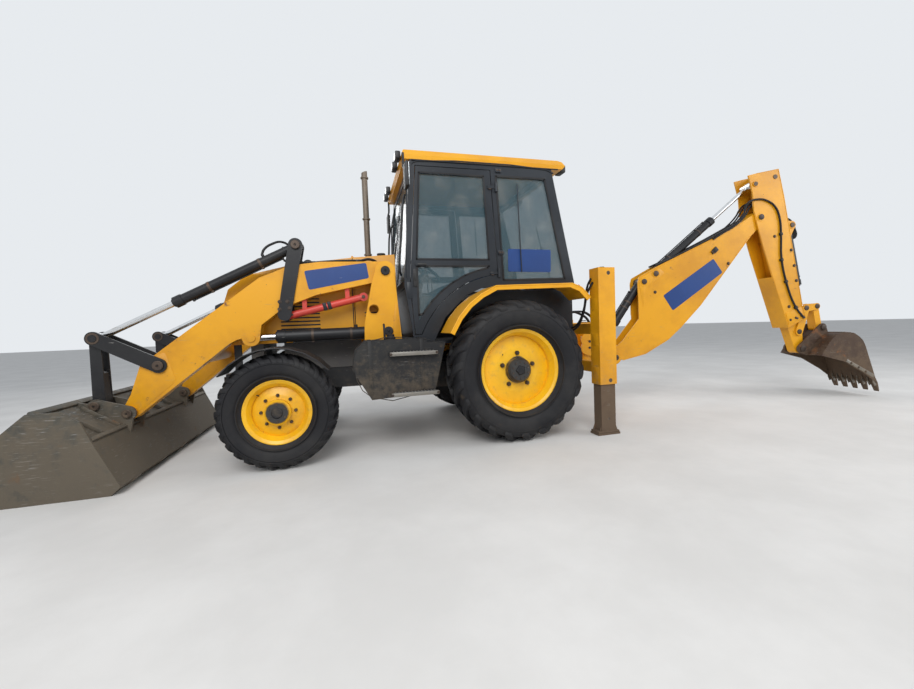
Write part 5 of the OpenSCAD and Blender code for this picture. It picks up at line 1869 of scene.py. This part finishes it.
@dataclass(frozen=True)
class Cushion:
    """A padded cushion of the driver's seat.

    Attributes:
        name: Name of the piece.
        size: Lengths in metres.
        centre: Local centre in the machine's frame.
        lean: Turn about the side direction in degrees.
        nodes: CAD nodes it stands in for.
    """

    name: str
    size: tuple[float, float, float]
    centre: tuple[float, float, float]
    lean: float
    nodes: tuple[str, ...] = ()

    def build(self) -> None:
        """Models, inflates and finishes the cushion."""
        bench = Bench(MACHINE, "seat")
        part = bench.block((0, 0, 0), self.size, Cloth(), 0.03)
        only(part)
        bpy.ops.object.mode_set(mode="EDIT")
        bpy.ops.mesh.select_all(action="SELECT")
        bpy.ops.mesh.subdivide(number_cuts=2)
        bpy.ops.object.mode_set(mode="OBJECT")
        remesh = part.modifiers.new("even", "REMESH")
        remesh.mode = "VOXEL"
        remesh.voxel_size = 0.013
        bpy.ops.object.modifier_apply(modifier=remesh.name)
        self.inflate(part)
        self.tuft(part)
        rounding = part.modifiers.new("soft", "SUBSURF")
        rounding.levels = 1
        bpy.ops.object.modifier_apply(modifier=rounding.name)
        part.data.transform(
            Matrix.Translation(Vector(self.centre)) @ Matrix.Rotation(math.radians(self.lean), 4, "Y"))
        bench.smooth(part, 80)
        piece = bench.finish(self.name, self.nodes)

    def inflate(self, part: Piece) -> None:
        """Lets pressed cloth swell out, by no more than a few millimetres.

        Args:
            part: Part to work on.
        """
        only(part)
        before = [vertex.co.copy() for vertex in part.data.vertices]
        cloth = part.modifiers.new("swell", "CLOTH")
        cloth.settings.use_pressure = True
        cloth.settings.uniform_pressure_force = 4.0
        cloth.settings.effector_weights.gravity = 0.0
        scene = bpy.context.scene
        for number in range(1, 21):
            scene.frame_set(number)
        bpy.ops.object.modifier_apply(modifier=cloth.name)
        for vertex, old in zip(part.data.vertices, before):
            move = vertex.co - old
            if move.length > 0.008:
                vertex.co = old + move.normalized() * 0.008
        scene.frame_set(1)

    def tuft(self, part: Piece) -> None:
        """Presses two stitched channels into the cushion's face.

        Args:
            part: Part to work on.
        """
        reach = self.size[2] / 2
        for vertex in part.data.vertices:
            if vertex.co.z > reach * 0.45:
                near = min(abs(abs(vertex.co.y) - 0.3 * self.size[1]), 0.05)
                vertex.co.z -= 0.01 * math.exp(-((near / 0.012) ** 2))


@dataclass(frozen=True)
class Seat:
    """Padded cushions on a pedestal with a bellows."""

    foot: tuple[float, float, float] = (-0.02, 0, 1.301)
    bellows_folds: int = 8

    def build(self) -> None:
        """Models the cushions and what carries them."""
        Cushion("seat_cushion", (0.46, 0.45, 0.105), (-0.02, 0, 1.4475), 0.0, ("seat",)).build()
        Cushion("seat_back", (0.53, 0.43, 0.1), (-0.285, 0, 1.74), -98.0).build()
        bench = Bench(MACHINE, "seat")
        pedestal = [(0, 0), (0.108, 0), (0.108, 0.008), (0.085, 0.02), (0.08, 0.07), (0.105, 0.088), (0, 0.088)]
        bench.lathe(pedestal, self.foot, (0, 0, 1), PLASTIC, 28)
        bellows = [(0.082 + 0.012 * (i % 2), 0.018 + 0.008 * i) for i in range(self.bellows_folds)]
        bench.lathe(bellows, (-0.02, 0, 1.3), (0, 0, 1), SEAL, 28)
        bench.block((-0.02, 0, 1.394), (0.46, 0.44, 0.014), PLASTIC, 0.005)
        bench.block((-0.335, 0, 1.72), (0.02, 0.4, 0.46), PLASTIC, 0.008, ("Y", -8))
        bench.finish("seat_base")


@dataclass(frozen=True)
class RearFrame:
    """Fittings of the rear frame, its two legs and the carriage."""

    housing: float = 1.1
    leg: float = -0.879
    wall: float = 1.174
    rail_heights: Point = (0.606, 1.104)
    post: float = -1.36

    def build(self) -> None:
        """Models the fittings."""
        self.housings_and_rails()
        for side, word in SIDES:
            self.foot(side, word)
        self.carriage()

    def housings_and_rails(self) -> None:
        """Pins, pads, caps, bolts and hoses of the legs' housings, and the rails' wear strips."""
        bench = Bench(MACHINE, "machine")
        for side in BOTH:
            middle = side * self.housing
            for z in (1.6, 0.544):
                bench.collar(0, 0.021, (-0.9, side * self.wall, z), (0, side, 0), BOLT_STEEL, 20, 0, 0.0011, 0.001)
            for z in (0.62, 0.95, 1.3):
                bench.block((-0.787, middle, z), (0.004, 0.1, 0.12), ARM_YELLOW, 0.001)
            bench.block((self.leg, middle, 1.6515), (0.188, 0.149, 0.006), ARM_YELLOW, 0.002)
            bench.rod((self.leg, middle, 1.652), (self.leg, middle, 1.668), 0.026, BOLT_STEEL)
            bench.block((-0.985, side * 1.06, 0.9), (0.026, 0.05, 0.07), YELLOW, 0.006)
            bench.rod((-0.985, side * 1.03, 0.9), (-0.985, side * 1.09, 0.9), 0.01, BOLT_STEEL)
            for z in (0.6, 1.1):
                for x in (-0.84, -0.93):
                    bench.bolt((x, side * 1.0245, z), (0, -side, 0), 0.026, 0.012)
            routes = (
                (
                    (-0.783, 1.06, 1.56), (-0.765, 1.03, 1.5), (-0.76, 0.95, 1.25), (-0.77, 0.8, 1.1),
                    (-0.78, 0.55, 1.06), (-0.775, 0.36, 1.02)),
                (
                    (-0.783, 1.09, 1.52), (-0.755, 1.05, 1.44), (-0.745, 0.96, 1.2), (-0.755, 0.82, 1.07),
                    (-0.76, 0.56, 1.03), (-0.755, 0.36, 0.98)))
            for route in routes:
                bench.hose([(u, side * v, w) for u, v, w in route], 0.011, HOSE, 8)
        for z in self.rail_heights:
            bench.block((-0.9735, 0, z), (0.004, 2.0, 0.012), EDGE_STEEL, 0.001)
        bench.finish("rear_frame_fittings")

    def foot(self, side: int, word: str) -> None:
        """Pins, plate and gussets of one leg.

        Args:
            side: 1 for the left, -1 for the right.
            word: Name of the side.
        """
        bench = Bench(MACHINE, f"{word}_leg")
        for z in (0.16, 0.3, 0.44):
            bench.collar(0, 0.016, (self.leg, side * 1.1612, z), (0, side, 0), BOLT_STEEL, 18, 0, 0.0014, 0.001)
        bench.block((self.leg, side * self.housing, 0.03), (0.235, 0.138, 0.02), RUST_STEEL, 0.006)
        for inside in (1.04, 1.145):
            for toe, heel in ((-0.985, -0.96), (-0.773, -0.798)):
                bench.plate(
                    ((toe, 0.03), (heel, 0.03), (heel, 0.098)), side * inside, side * (inside + 0.012), RUST_STEEL,
                    0.001)
        bench.finish(f"{word}_leg_fittings")

    def carriage(self) -> None:
        """Bolts, pads and rings of the side-shift carriage."""
        bench = Bench(MACHINE, "carriage")
        for side in BOTH:
            for z, up in ((0.584, -1), (1.126, 1)):
                for y in (0.14, 0.18, 0.22):
                    bench.bolt((-0.945, side * y, z), (0, 0, up), 0.022, 0.01)
            for z in (0.595, 1.085):
                bench.block((-1.15, side * 0.101, z), (0.24, 0.004, 0.045), YELLOW, 0.001)
            bench.block((-1.038, side * 0.22, 0.85), (0.004, 0.1, 0.34), YELLOW, 0.001)
        for z, up in ((0.56, -1), (1.12, 1)):
            bench.collar(0.042, 0.062, (self.post, 0, z), (0, 0, up), BOLT_STEEL, 28, base=0, height=0.006)
        bench.finish("carriage_fittings")


@dataclass(frozen=True)
class SwingPost:
    """Pin caps and hose ends of the swing post, and the hoses that cross it."""

    routes: tuple[float, ...] = (-0.092, -0.066, 0.066, 0.092)
    landing: float = 1.04

    def build(self) -> None:
        """Models the fittings and the hoses."""
        self.post()
        for index, y in enumerate(self.routes):
            self.hose(index, y)

    def post(self) -> None:
        """Caps and rings of the pins, and the ends of the hoses."""
        bench = Bench(SLEW, "swing_post")
        bench.pin_ends((0.36, 0.66), 0.0, 0.14, 0.036)
        for out in BOTH:
            bench.collar(0.03, 0.05, (0.3, out * 0.13, 0.93), (0, out, 0), BOLT_STEEL, 24, 0, 0.006, 0.003)
            for u, w in ((0.02, 0.8), (0.02, 0.88)):
                bench.bolt((u, out * 0.1302, w), (0, out, 0), 0.024, 0.01)
        bench.collar(0, 0.034, (0, 0, 1.14), (0, 0, 1), BOLT_STEEL, 24, 0, 0.01, 0.004)
        for y in self.routes:
            outer = abs(y) > 0.08
            seat = (0.108, math.copysign(0.107, y), self.landing) if outer else (0.078, y, self.landing)
            bench.rod((0.108, y, self.landing), seat, 0.0135, BOLT_STEEL, 12, 0.001)
        bench.finish("swing_post_fittings")

    def hose(self, index: int, y: float) -> None:
        """One hose from the carriage to the post.

        Args:
            index: Its number, from 0.
            y: Its place across the machine.
        """
        bench = Bench(MACHINE, "carriage")
        to_machine = MACHINE.matrix().inverted()
        landing = [tuple(to_machine @ SLEW.point(u, -y, w)) for u, w in ((0.098, 1.14), (0.108, 1.042))]
        bench.hose(
            [(-1.035, y, 1.13), (-1.1, y, 1.22 + 0.02 * (index % 2)), (-1.22, y, 1.262), (-1.36, y, 1.235), *landing],
            0.0125, HOSE, 8)
        piece = bench.finish(f"slew_hose_{index + 1}", (), False)
        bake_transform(piece)


@dataclass(frozen=True)
class Boom:
    """Seams, bosses, clamps, pipes and cylinders of the boom."""

    face: float = 0.1
    base_pins: tuple[Point, Point] = ((0.935, 0.45), (1.12, 0.42))
    lines: tuple[float, ...] = (-0.084, -0.06, 0.06, 0.084)
    pipe: float = 0.011

    def build(self) -> None:
        """Models the fittings, the hoses over the elbow and the cylinders' ones."""
        self.sides()
        for index, y in enumerate(self.lines):
            self.elbow_hose(index, y)
        self.rams()

    def sides(self) -> None:
        """Rings and caps round the pins, weld seams, doublers, valves, and the pipes with their clamps."""
        bench = Bench(BOOM, "boom")
        for out in BOTH:
            face = out * self.face
            rings = (
                ((0, 0), 0.062, 0.084), ((2.65, 0), 0.062, 0.08), (self.base_pins[0], 0.036, 0.062),
                (self.base_pins[1], 0.036, 0.058))
            for (u, w), inner, outer in rings:
                bench.collar(inner, outer, (u, face, w), (0, out, 0), ARM_YELLOW, 32)
            for u, w in self.base_pins:
                bench.button(0.034, 0.005, 0.028, 0.008, (u, out * 0.1105, w), (0, out, 0), 20)
            face = out * self.face
            seam = [
                (0.1, -0.118), (0.33, -0.245), (0.68, -0.318), (0.9, -0.32), (1.3, -0.291), (1.9, -0.19), (2.4, -0.09)
            ]
            bench.hose([(u, face - out * 0.0005, w + 0.004) for u, w in seam], 0.0035, ARM_YELLOW, 1, False)
            top = [
                (0.6, 0.185), (0.865, 0.495), (0.925, 0.532), (1.18, 0.472), (1.6, 0.345), (1.96, 0.233),
                (2.44, 0.112)]
            bench.hose([(u, face - out * 0.0005, w - 0.004) for u, w in top], 0.0035, ARM_YELLOW, 1, False)
            bench.plate(
                rounded(((0.7, 0.2), (0.88, 0.36), (1.22, 0.34), (1.2, 0.455), (0.93, 0.515), (0.87, 0.48)), 0.05),
                face, face + out * 0.0022, ARM_YELLOW, 0.001)
            for u, w in ((1.937, -0.153), (0.955, 0.25)):
                bench.bolt((u, face, w), (0, out, 0), 0.03, 0.014)
            bench.block((1.914, out * 0.108, 0.101), (0.07, 0.018, 0.06), BLACK, 0.004)
            for w in (0.088, 0.114):
                bench.rod((1.88, out * 0.112, w), (1.85, out * 0.112, w + 0.004), 0.01, BOLT_STEEL, 12)
        for u, w, turn in ((1.4, 0.4122, 17), (1.62, 0.3445, 17), (2.1, 0.205, 14), (2.34, 0.1437, 14)):
            for y in (-0.072, 0.072):
                bench.block((u, y, w - 0.006), (0.04, 0.054, 0.024), BLACK, 0.003, ("Y", turn))
        for y in self.lines:
            bench.hose(
                [
                    (1.205, y, 0.489), (1.4, y, 0.4235), (1.62, y, 0.356), (1.96, y, 0.2545), (2.1, y, 0.2165),
                    (2.34, y, 0.155)],
                self.pipe, BLACK, 5)
        bench.finish("boom_fittings")

    def elbow_hose(self, index: int, y: float) -> None:
        """One hose from a pipe's end over the elbow to the dipper.

        Args:
            index: Its number, from 0.
            y: Its place across the boom.
        """
        bench = Bench(BOOM, "boom")
        lift = 0.02 * (index % 2)
        route = (
            (2.34, 1, 0.155), (2.44, 0.95, 0.135 + lift), (2.56, 0.9, 0.15 + lift), (2.66, 0.9, 0.18 + lift),
            (2.76, 0.9, 0.175 + lift), (2.84, 0.9, 0.115))
        bench.hose([(u, y * share, w) for u, share, w in route], self.pipe, HOSE, 8)
        piece = bench.finish(f"elbow_hose_{index + 1}", (), False)
        BOOM.point(2.44, 0, 0.14)
        BOOM.point(2.74, 0, 0.17)
        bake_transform(piece)

    def rams(self) -> None:
        """Fittings of the boom's and the dipper's cylinders."""
        low, high = (BOOM.point(u, 0, w) for u, w in self.base_pins)
        post_pin, head_pin = SLEW.point(0.3, 0, 0.93), DIPPER.point(-0.425, 0, 0.066)
        DiggingRam("boom_ram_fittings", "boom_barrel", SLEW.turned(low, post_pin - low), 0.64, 0.05, 0.03, -1).build()
        DiggingRam(
            "dipper_ram_fittings", "dipper_barrel", SLEW.turned(high, head_pin - high), 1.08, 0.048, 0.028).build()


@dataclass(frozen=True)
class Dipper:
    """Fittings of the dipper, its slide, its hoses and the tipping lever."""

    face: float = 0.122
    hose_side: float = -0.136
    ram_base: Point = (0.25, 0.42)
    ram_eye: Point = (1.357, 0.259)

    def build(self) -> None:
        """Models the fittings."""
        self.sides()
        self.long_hose()
        self.slide()
        self.ram_hoses()
        self.lever_caps()
        start, end = (DIPPER.point(u, 0, w) for u, w in (self.ram_base, self.ram_eye))
        placing = SLEW.turned(start, end - start)
        DiggingRam("bucket_ram_fittings", "bucket_barrel", placing, 0.8, 0.044, 0.026).build()

    def sides(self) -> None:
        """Bolts, rings, caps, weld seams and guide plates of both sides, and the long hose's clamps."""
        bench = Bench(DIPPER, "dipper")
        for out in BOTH:
            face = out * self.face
            for u, w in ((0.548, 0.262), (0.755, 0.235), (0.951, 0.2), (1.238, -0.01), (1.425, 0.046), (0.3, 0.1)):
                bench.bolt((u, face, w), (0, out, 0), 0.03, 0.013)
            bench.collar(0.028, 0.058, (0, face, 0), (0, out, 0), ARM_YELLOW, 32, inset=0.003)
            bench.button(0.036, 0.004, 0.03, 0.008, (0, out * 0.134, 0), (0, out, 0), 24)
            bench.collar(0, 0.028, (-0.425, out * 0.134, 0.066), (0, out, 0), BOLT_STEEL, 24)
            bench.collar(0, 0.03, (-0.42, face, 0.36), (0, out, 0), BOLT_STEEL, 24, height=0.006)
            face = out * self.face
            edge = [
                (-0.545, 0.13), (-0.5, 0.43), (-0.14, 0.39), (1.29, 0.17), (1.462, 0.16), (1.49, -0.103),
                (0.42, -0.09), (0.09, -0.077), (-0.12, -0.057), (-0.33, -0.003), (-0.55, 0.016)]
            bench.hose([(u, face, w) for u, w in edge], 0.0035, ARM_YELLOW, 1, False)
            bench.plate(
                rounded(((1.3, 0.15), (1.455, 0.14), (1.475, -0.09), (1.3, -0.085)), 0.02), face, face + out * 0.005,
                ARM_YELLOW, 0.001)
            for w in (-0.05, 0.03, 0.11):
                bench.bolt((1.41, face + out * 0.005, w), (0, out, 0), 0.024, 0.011)
        for u, w, turn in ((0.3, 0.182, 18), (0.62, 0.08, 12), (0.91, 0.047, 0), (1.28, 0.067, -14)):
            bench.block((u, -0.133, w), (0.034, 0.024, 0.044), BLACK, 0.004, ("Y", turn))
            bench.bolt((u, -0.144, w), (0, -1, 0), 0.018, 0.006, BOLT_STEEL, False)
        bench.finish("dipper_fittings")

    def long_hose(self) -> None:
        """The hose from the boom's side over the elbow and down the dipper."""
        bench = Bench(DIPPER, "dipper")
        to_dipper = DIPPER.matrix().inverted()
        on_boom = ((1.98, -0.108, 0.225), (2.12, -0.112, 0.198), (2.36, -0.112, 0.15), (2.48, -0.118, 0.17))
        on_dipper = (
            (-0.225, -0.135), (-0.228, 0.03), (-0.16, 0.15), (-0.05, 0.222), (0.09, 0.232), (0.33, 0.172),
            (0.57, 0.093), (0.91, 0.047), (1.28, 0.067), (1.435, 0.124))
        y = self.hose_side
        start = [tuple(to_dipper @ BOOM.point(u, v, w)) for u, v, w in on_boom]
        bench.hose([*start, *((u, y, w) for u, w in on_dipper)], 0.0115, HOSE, 8)
        bench.rod((1.425, y, 0.12), (1.455, y, 0.133), 0.016, BOLT_STEEL, 12)
        piece = bench.finish("dipper_hose", (), False)
        DIPPER.point(-0.1, 0, -0.3)
        DIPPER.point(-0.1, 0, 0.02)
        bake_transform(piece)

    def slide(self) -> None:
        """Rings and caps on the inner dipper."""
        bench = Bench(DIPPER, "inner_dipper")
        for out in BOTH:
            for (u, w), outer in (((1.84, 0.0), 0.058), ((1.62, 0.06), 0.054)):
                bench.collar(0.031, outer, (u, out * 0.0605, w), (0, out, 0), ARM_YELLOW, 28, height=0.003)
            u, w = self.ram_base
            bench.collar(0, 0.032, (u, out * 0.09, w), (0, out, 0), BOLT_STEEL, 20, height=0.006)
            bench.collar(0.026, 0.05, (u, out * 0.08, w), (0, out, 0), ARM_YELLOW, 24, inset=0.003)
        bench.finish("slide_fittings")

    def ram_hoses(self) -> None:
        """Three short hoses that loop over the bucket cylinder's base."""
        bench = Bench(DIPPER, "bucket_barrel")
        for y in (-0.026, 0.0, 0.026):
            bench.hose(
                [
                    (0.437, 0.5 * y, 0.46), (0.405, y, 0.488), (0.32, y, 0.498), (0.24, y, 0.492), (0.165, y, 0.455),
                    (0.135, y, 0.395)],
                0.0105, HOSE, 7)
        bench.finish("bucket_ram_hoses")

    def lever_caps(self) -> None:
        """Pin caps of the tipping lever."""
        bench = Bench(DIPPER, "tipping_lever")
        cap = [(0, -0.001), (0.034, -0.001), (0.032, 0.006), (0.026, 0.008), (0, 0.008)]
        for out in BOTH:
            for u, w in ((1.62, 0.06), (1.391, 0.412), self.ram_eye):
                bench.lathe(cap, (u, out * 0.082, w), (0, out, 0), BOLT_STEEL, 22)
        bench.finish("tipping_lever_caps")


@dataclass(frozen=True)
class DiggingBucket:
    """Tooth tips, side cutters, ribs and pin caps of the digging bucket."""

    tooth_pitch: float = 0.13
    half: float = 0.3
    link_reach: float = 0.402
    link_angle: float = 76.2
    back: Point = (0.4, 0.165)
    back_radius: float = 0.291

    def build(self) -> None:
        """Models the fittings."""
        bench = Bench(DIG_BUCKET, "digging_bucket")
        for index in range(-2, 3):
            y = index * self.tooth_pitch
            for out in BOTH:
                bench.plate(
                    ((0.93, 0.06), (0.985, 0.028), (1.0, 0.052), (0.925, 0.1), (0.89, 0.11)), y + out * 0.0298,
                    y + out * 0.0335, EDGE_STEEL, 0.001)
                bench.rod((0.925, y + out * 0.029, 0.085), (0.925, y + out * 0.037, 0.085), 0.009, BOLT_STEEL, 12)
        for out in BOTH:
            face = out * self.half
            bench.plate(
                ((0.445, 0.082), (0.755, 0.099), (0.905, 0.105), (0.885, 0.15), (0.745, 0.14), (0.445, 0.118)),
                face - out * 0.0005, face - out * 0.0005 + out * 0.0035, EDGE_STEEL, 0.001)
            for u, w in ((0.52, 0.104), (0.64, 0.112), (0.76, 0.118)):
                bench.bolt((u, face + out * 0.0015, w), (0, out, 0), 0.024, 0.01)
            bench.button(0.04, 0.006, 0.032, 0.01, (0, out * 0.122, 0), (0, out, 0), 24)
            angle = math.radians(self.link_angle)
            link = (self.link_reach * math.cos(angle), out * 0.122, self.link_reach * math.sin(angle))
            bench.button(0.036, 0.006, 0.028, 0.01, link, (0, out, 0), 24)
            bench.collar(0.034, 0.06, (0, out * 0.112, 0), (0, out, 0), RUST_STEEL, 28)
        for angle in (70, 100, 130):
            along, up = math.cos(math.radians(angle)), math.sin(math.radians(angle))
            centre = (self.back[0] + self.back_radius * along, 0, self.back[1] + self.back_radius * up)
            bench.block(centre, (0.006, 0.596, 0.04), RUST_STEEL, 0.002, ("Y", -angle))
        bench.finish("digging_bucket_fittings")


@dataclass(frozen=True)
class Axles:
    """Steering cylinder, brake pipes and hub bolts of the axles."""

    steering: Point = (2.29, 0.445)
    flange: float = 0.639
    circle: float = 0.14
    hub_height: float = 0.69

    def build(self) -> None:
        """Models the fittings."""
        bench = Bench(MACHINE, "machine")
        u, w = self.steering
        for side in BOTH:
            bench.rod((u, side * 0.3, w), (u, side * 0.52, w), 0.018, Chrome(), 16)
            bench.lathe(
                [(0.019, 0), (0.036, 0), (0.036, 0.02), (0.019, 0.024)], (u, side * 0.298, w), (0, side, 0), BLACK, 20
            )
            bench.hose([(0.1, side * 0.32, 0.795), (0.05, side * 0.42, 0.8), (0.0, side * 0.6, 0.8)], 0.007, BLACK, 5)
            for angle in [math.radians(a) for a in range(0, 360, 45)]:
                place = (
                    self.circle * math.cos(angle), side * self.flange, self.hub_height + self.circle * math.sin(angle)
                )
                bench.bolt(place, (0, side, 0), 0.024, 0.01, BOLT_STEEL, False)
        bench.finish("axle_fittings")


@dataclass(frozen=True)
class Guards:
    """Rolled edges on the front mudguards and rear fenders, and the rear lamps."""

    arch: float = 0.53
    front: Point = (2.17, 0.485)
    fender: tuple[Point, ...] = (
        (0.69, 1.075), (0.61, 1.215), (0.51, 1.33), (0.39, 1.42), (0.245, 1.492), (-0.54, 1.507), (-0.64, 1.467),
        (-0.735, 1.37))

    def build(self) -> None:
        """Models the edges, bolts and lamps."""
        u, w = self.front
        angles = [math.radians(a) for a in range(142, 37, -13)]
        for side, word in SIDES:
            bench = Bench(MACHINE, f"{word}_knuckle")
            for y in (side * 0.797, side * 1.093):
                arc = [(u + self.arch * math.cos(a), y, w + self.arch * math.sin(a)) for a in angles]
                bench.hose(arc, 0.006, PLASTIC, 1, False)
            bench.finish(f"{word}_mudguard_edges")
        bench = Bench(MACHINE, "machine")
        for side in BOTH:
            bench.hose([(u, side * 1.117, w) for u, w in self.fender], 0.0075, YELLOW, 1, False)
            for x in (-0.4, -0.05):
                bench.bolt((x, side * 0.9, 1.513), (0, 0, 1), 0.026, 0.01)
            bench.block((-0.655, side * 1.0, 1.475), (0.03, 0.12, 0.05), RED_LENS, 0.006, ("Y", 45))
        bench.finish("fender_edges")


@dataclass(frozen=True)
class Studio:
    """Floor, lights, background and camera.

    Attributes:
        eye: Camera's place in metres.
        right: Camera's right direction.
        up: Camera's up direction.
        ahead: Camera's looking direction.
        lens: Focal length in millimetres.
    """

    eye: tuple[float, float, float]
    right: tuple[float, float, float]
    up: tuple[float, float, float]
    ahead: tuple[float, float, float]
    lens: float

    def build(self) -> None:
        """Sets the scene round the machine."""
        self.floor()
        self.sky()
        self.lamp("key_light", (3.5, 8.5, 7.0), 6.0, 680)
        self.lamp("side_light", (-8.0, 5.5, 5.0), 5.0, 300)
        self.lamp("back_light", (2.0, -7.5, 6.0), 6.0, 260)
        self.camera()

    def floor(self) -> None:
        """A plain pale floor."""
        bpy.ops.object.select_all(action="DESELECT")
        bpy.ops.mesh.primitive_plane_add(size=120)
        plane = bpy.context.object
        plane.name = "floor"
        plane.location = (0, 0, -0.0005)
        only(plane)
        bpy.ops.object.transform_apply(location=True, rotation=True, scale=True)
        graph = Graph("pale ground")
        tone = graph.ramp(graph.noise(1.2, 6), 0.3, 0.75)
        graph.link(graph.mix(tone, (0.66, 0.645, 0.62), (0.74, 0.725, 0.7)), graph.shader.inputs["Base Color"])
        graph.shader.inputs["Roughness"].default_value = 0.95
        plane.data.materials.append(graph.material)

    def sky(self) -> None:
        """A soft even sky that reads pale in the picture."""
        world = bpy.data.worlds.new("soft sky")
        bpy.context.scene.world = world
        world.use_nodes = True
        tree = world.node_tree
        tree.nodes.clear()
        shades = []
        for colour, strength in (((0.86, 0.92, 1.0, 1), 0.52), ((0.8, 0.83, 0.86, 1), 1.0)):
            shade = tree.nodes.new("ShaderNodeBackground")
            shade.inputs["Color"].default_value = colour
            shade.inputs["Strength"].default_value = strength
            shades.append(shade)
        rays = tree.nodes.new("ShaderNodeLightPath")
        seen = rays.outputs["Is Camera Ray"]
        for name in ("Is Glossy Ray", "Is Transmission Ray"):
            either = tree.nodes.new("ShaderNodeMath")
            either.operation = "MAXIMUM"
            tree.links.new(seen, either.inputs[0])
            tree.links.new(rays.outputs[name], either.inputs[1])
            seen = either.outputs[0]
        mix = tree.nodes.new("ShaderNodeMixShader")
        tree.links.new(seen, mix.inputs[0])
        tree.links.new(shades[0].outputs[0], mix.inputs[1])
        tree.links.new(shades[1].outputs[0], mix.inputs[2])
        output = tree.nodes.new("ShaderNodeOutputWorld")
        tree.links.new(mix.outputs[0], output.inputs[0])

    def lamp(self, name: str, place: Sequence[float], size: float, power: float) -> None:
        """Adds a soft area light that faces the machine.

        Args:
            name: Name of the light.
            place: Where it hangs.
            size: Side of its square in metres.
            power: Strength in watts.
        """
        data = bpy.data.lights.new(name, "AREA")
        data.size = size
        data.energy = power
        light = bpy.data.objects.new(name, data)
        light.location = place
        light.rotation_euler = (Vector((0, 0, 1.2)) - Vector(place)).to_track_quat("-Z", "Y").to_euler()
        bpy.context.collection.objects.link(light)

    def camera(self) -> None:
        """Places the camera where the photograph was taken."""
        data = bpy.data.cameras.new("view")
        data.lens = self.lens
        data.sensor_width = 36.0
        data.clip_end = 400.0
        camera = bpy.data.objects.new("view", data)
        bpy.context.collection.objects.link(camera)
        turned = Matrix((self.right, self.up, [-value for value in self.ahead])).transposed()
        camera.matrix_world = Matrix.Translation(self.eye) @ turned.to_4x4()
        bpy.context.scene.camera = camera


FINISH_OF: dict[str, Finish] = {
    "chassis": BLACK, "engine_block": GREY_IRON, "axles": BLACK, "loader_tower": YELLOW, "side_tanks": TANK_BLACK,
    "rear_fenders": YELLOW, "cab_floor": CAB_BLACK, "cab_frame": CAB_BLACK, "cab_roof": YELLOW, "cab_glass": PANE,
    "lamps_and_mirrors": PLASTIC, "exhaust_stack": PIPE_RUST, "front_cowl": YELLOW, "controls": PLASTIC,
    "rear_frame": ARM_YELLOW, "bonnet": YELLOW, "seat": Cloth(), "left_door": CAB_BLACK, "right_door": CAB_BLACK,
    "left_door_glass": PANE, "right_door_glass": PANE, "left_knuckle": BLACK, "right_knuckle": BLACK,
    "left_mudguard": PLASTIC, "right_mudguard": PLASTIC, "front_left_tyre": TYRE, "front_right_tyre": TYRE,
    "rear_left_tyre": TYRE, "rear_right_tyre": TYRE, "front_left_rim": FRONT_RIM, "front_right_rim": FRONT_RIM,
    "rear_left_rim": REAR_RIM, "rear_right_rim": REAR_RIM, "loader_arms": ARM_YELLOW, "crowd_brackets": BLACK,
    "safety_strut": RED, "loader_bucket": BUCKET_STEEL, "lift_barrels": BLACK, "lift_rods": Chrome(),
    "crowd_barrels": BLACK, "crowd_rods": Chrome(), "bucket_rockers": BLACK, "bucket_links": BLACK,
    "left_leg": RUST_STEEL, "right_leg": RUST_STEEL, "carriage": YELLOW, "swing_post": ARM_YELLOW, "boom": ARM_YELLOW,
    "boom_barrel": BLACK, "boom_rod": Chrome(), "dipper": ARM_YELLOW, "dipper_barrel": BLACK, "dipper_rod": Chrome(),
    "inner_dipper": ARM_YELLOW, "bucket_barrel": BLACK, "bucket_rod": Chrome(), "tipping_lever": ARM_YELLOW,
    "tipping_link": ARM_YELLOW, "digging_bucket": RUST_STEEL}


def paint_frame() -> None:
    """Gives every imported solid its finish."""
    for name, solid in frame["nodes"].items():
        solid.data.materials.clear()
        solid.data.materials.append(PALETTE.get(FINISH_OF[name]))
        for face in solid.data.polygons:
            face.material_index = 0


def main() -> None:
    """Builds the sub-assemblies in order."""
    logging.basicConfig(level=logging.INFO, format="%(name)s: %(message)s")
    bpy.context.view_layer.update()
    paint_frame()
    assemblies = (
        Wheels(), BluePanels(), Bonnet(), LoaderBucket(), LoaderArms(), Tower(), SideTanks(), Cab(), RoofFittings(),
        CabInside(), Seat(), RearFrame(), SwingPost(), Boom(), Dipper(), DiggingBucket(), Axles(), Guards())
    for assembly in assemblies:
        assembly.build()
        LOG.info("done: %s", type(assembly).__name__)
    Studio(
        eye=(2.126, 4.594, 1.134), right=(-0.96546, 0.25761, -0.03895), up=(-0.0492, -0.03347, 0.99823),
        ahead=(-0.25585, -0.96567, -0.04498), lens=15.776).build()
    bpy.context.scene.view_settings.view_transform = "Standard"


if __name__ == "__main__":
    main()
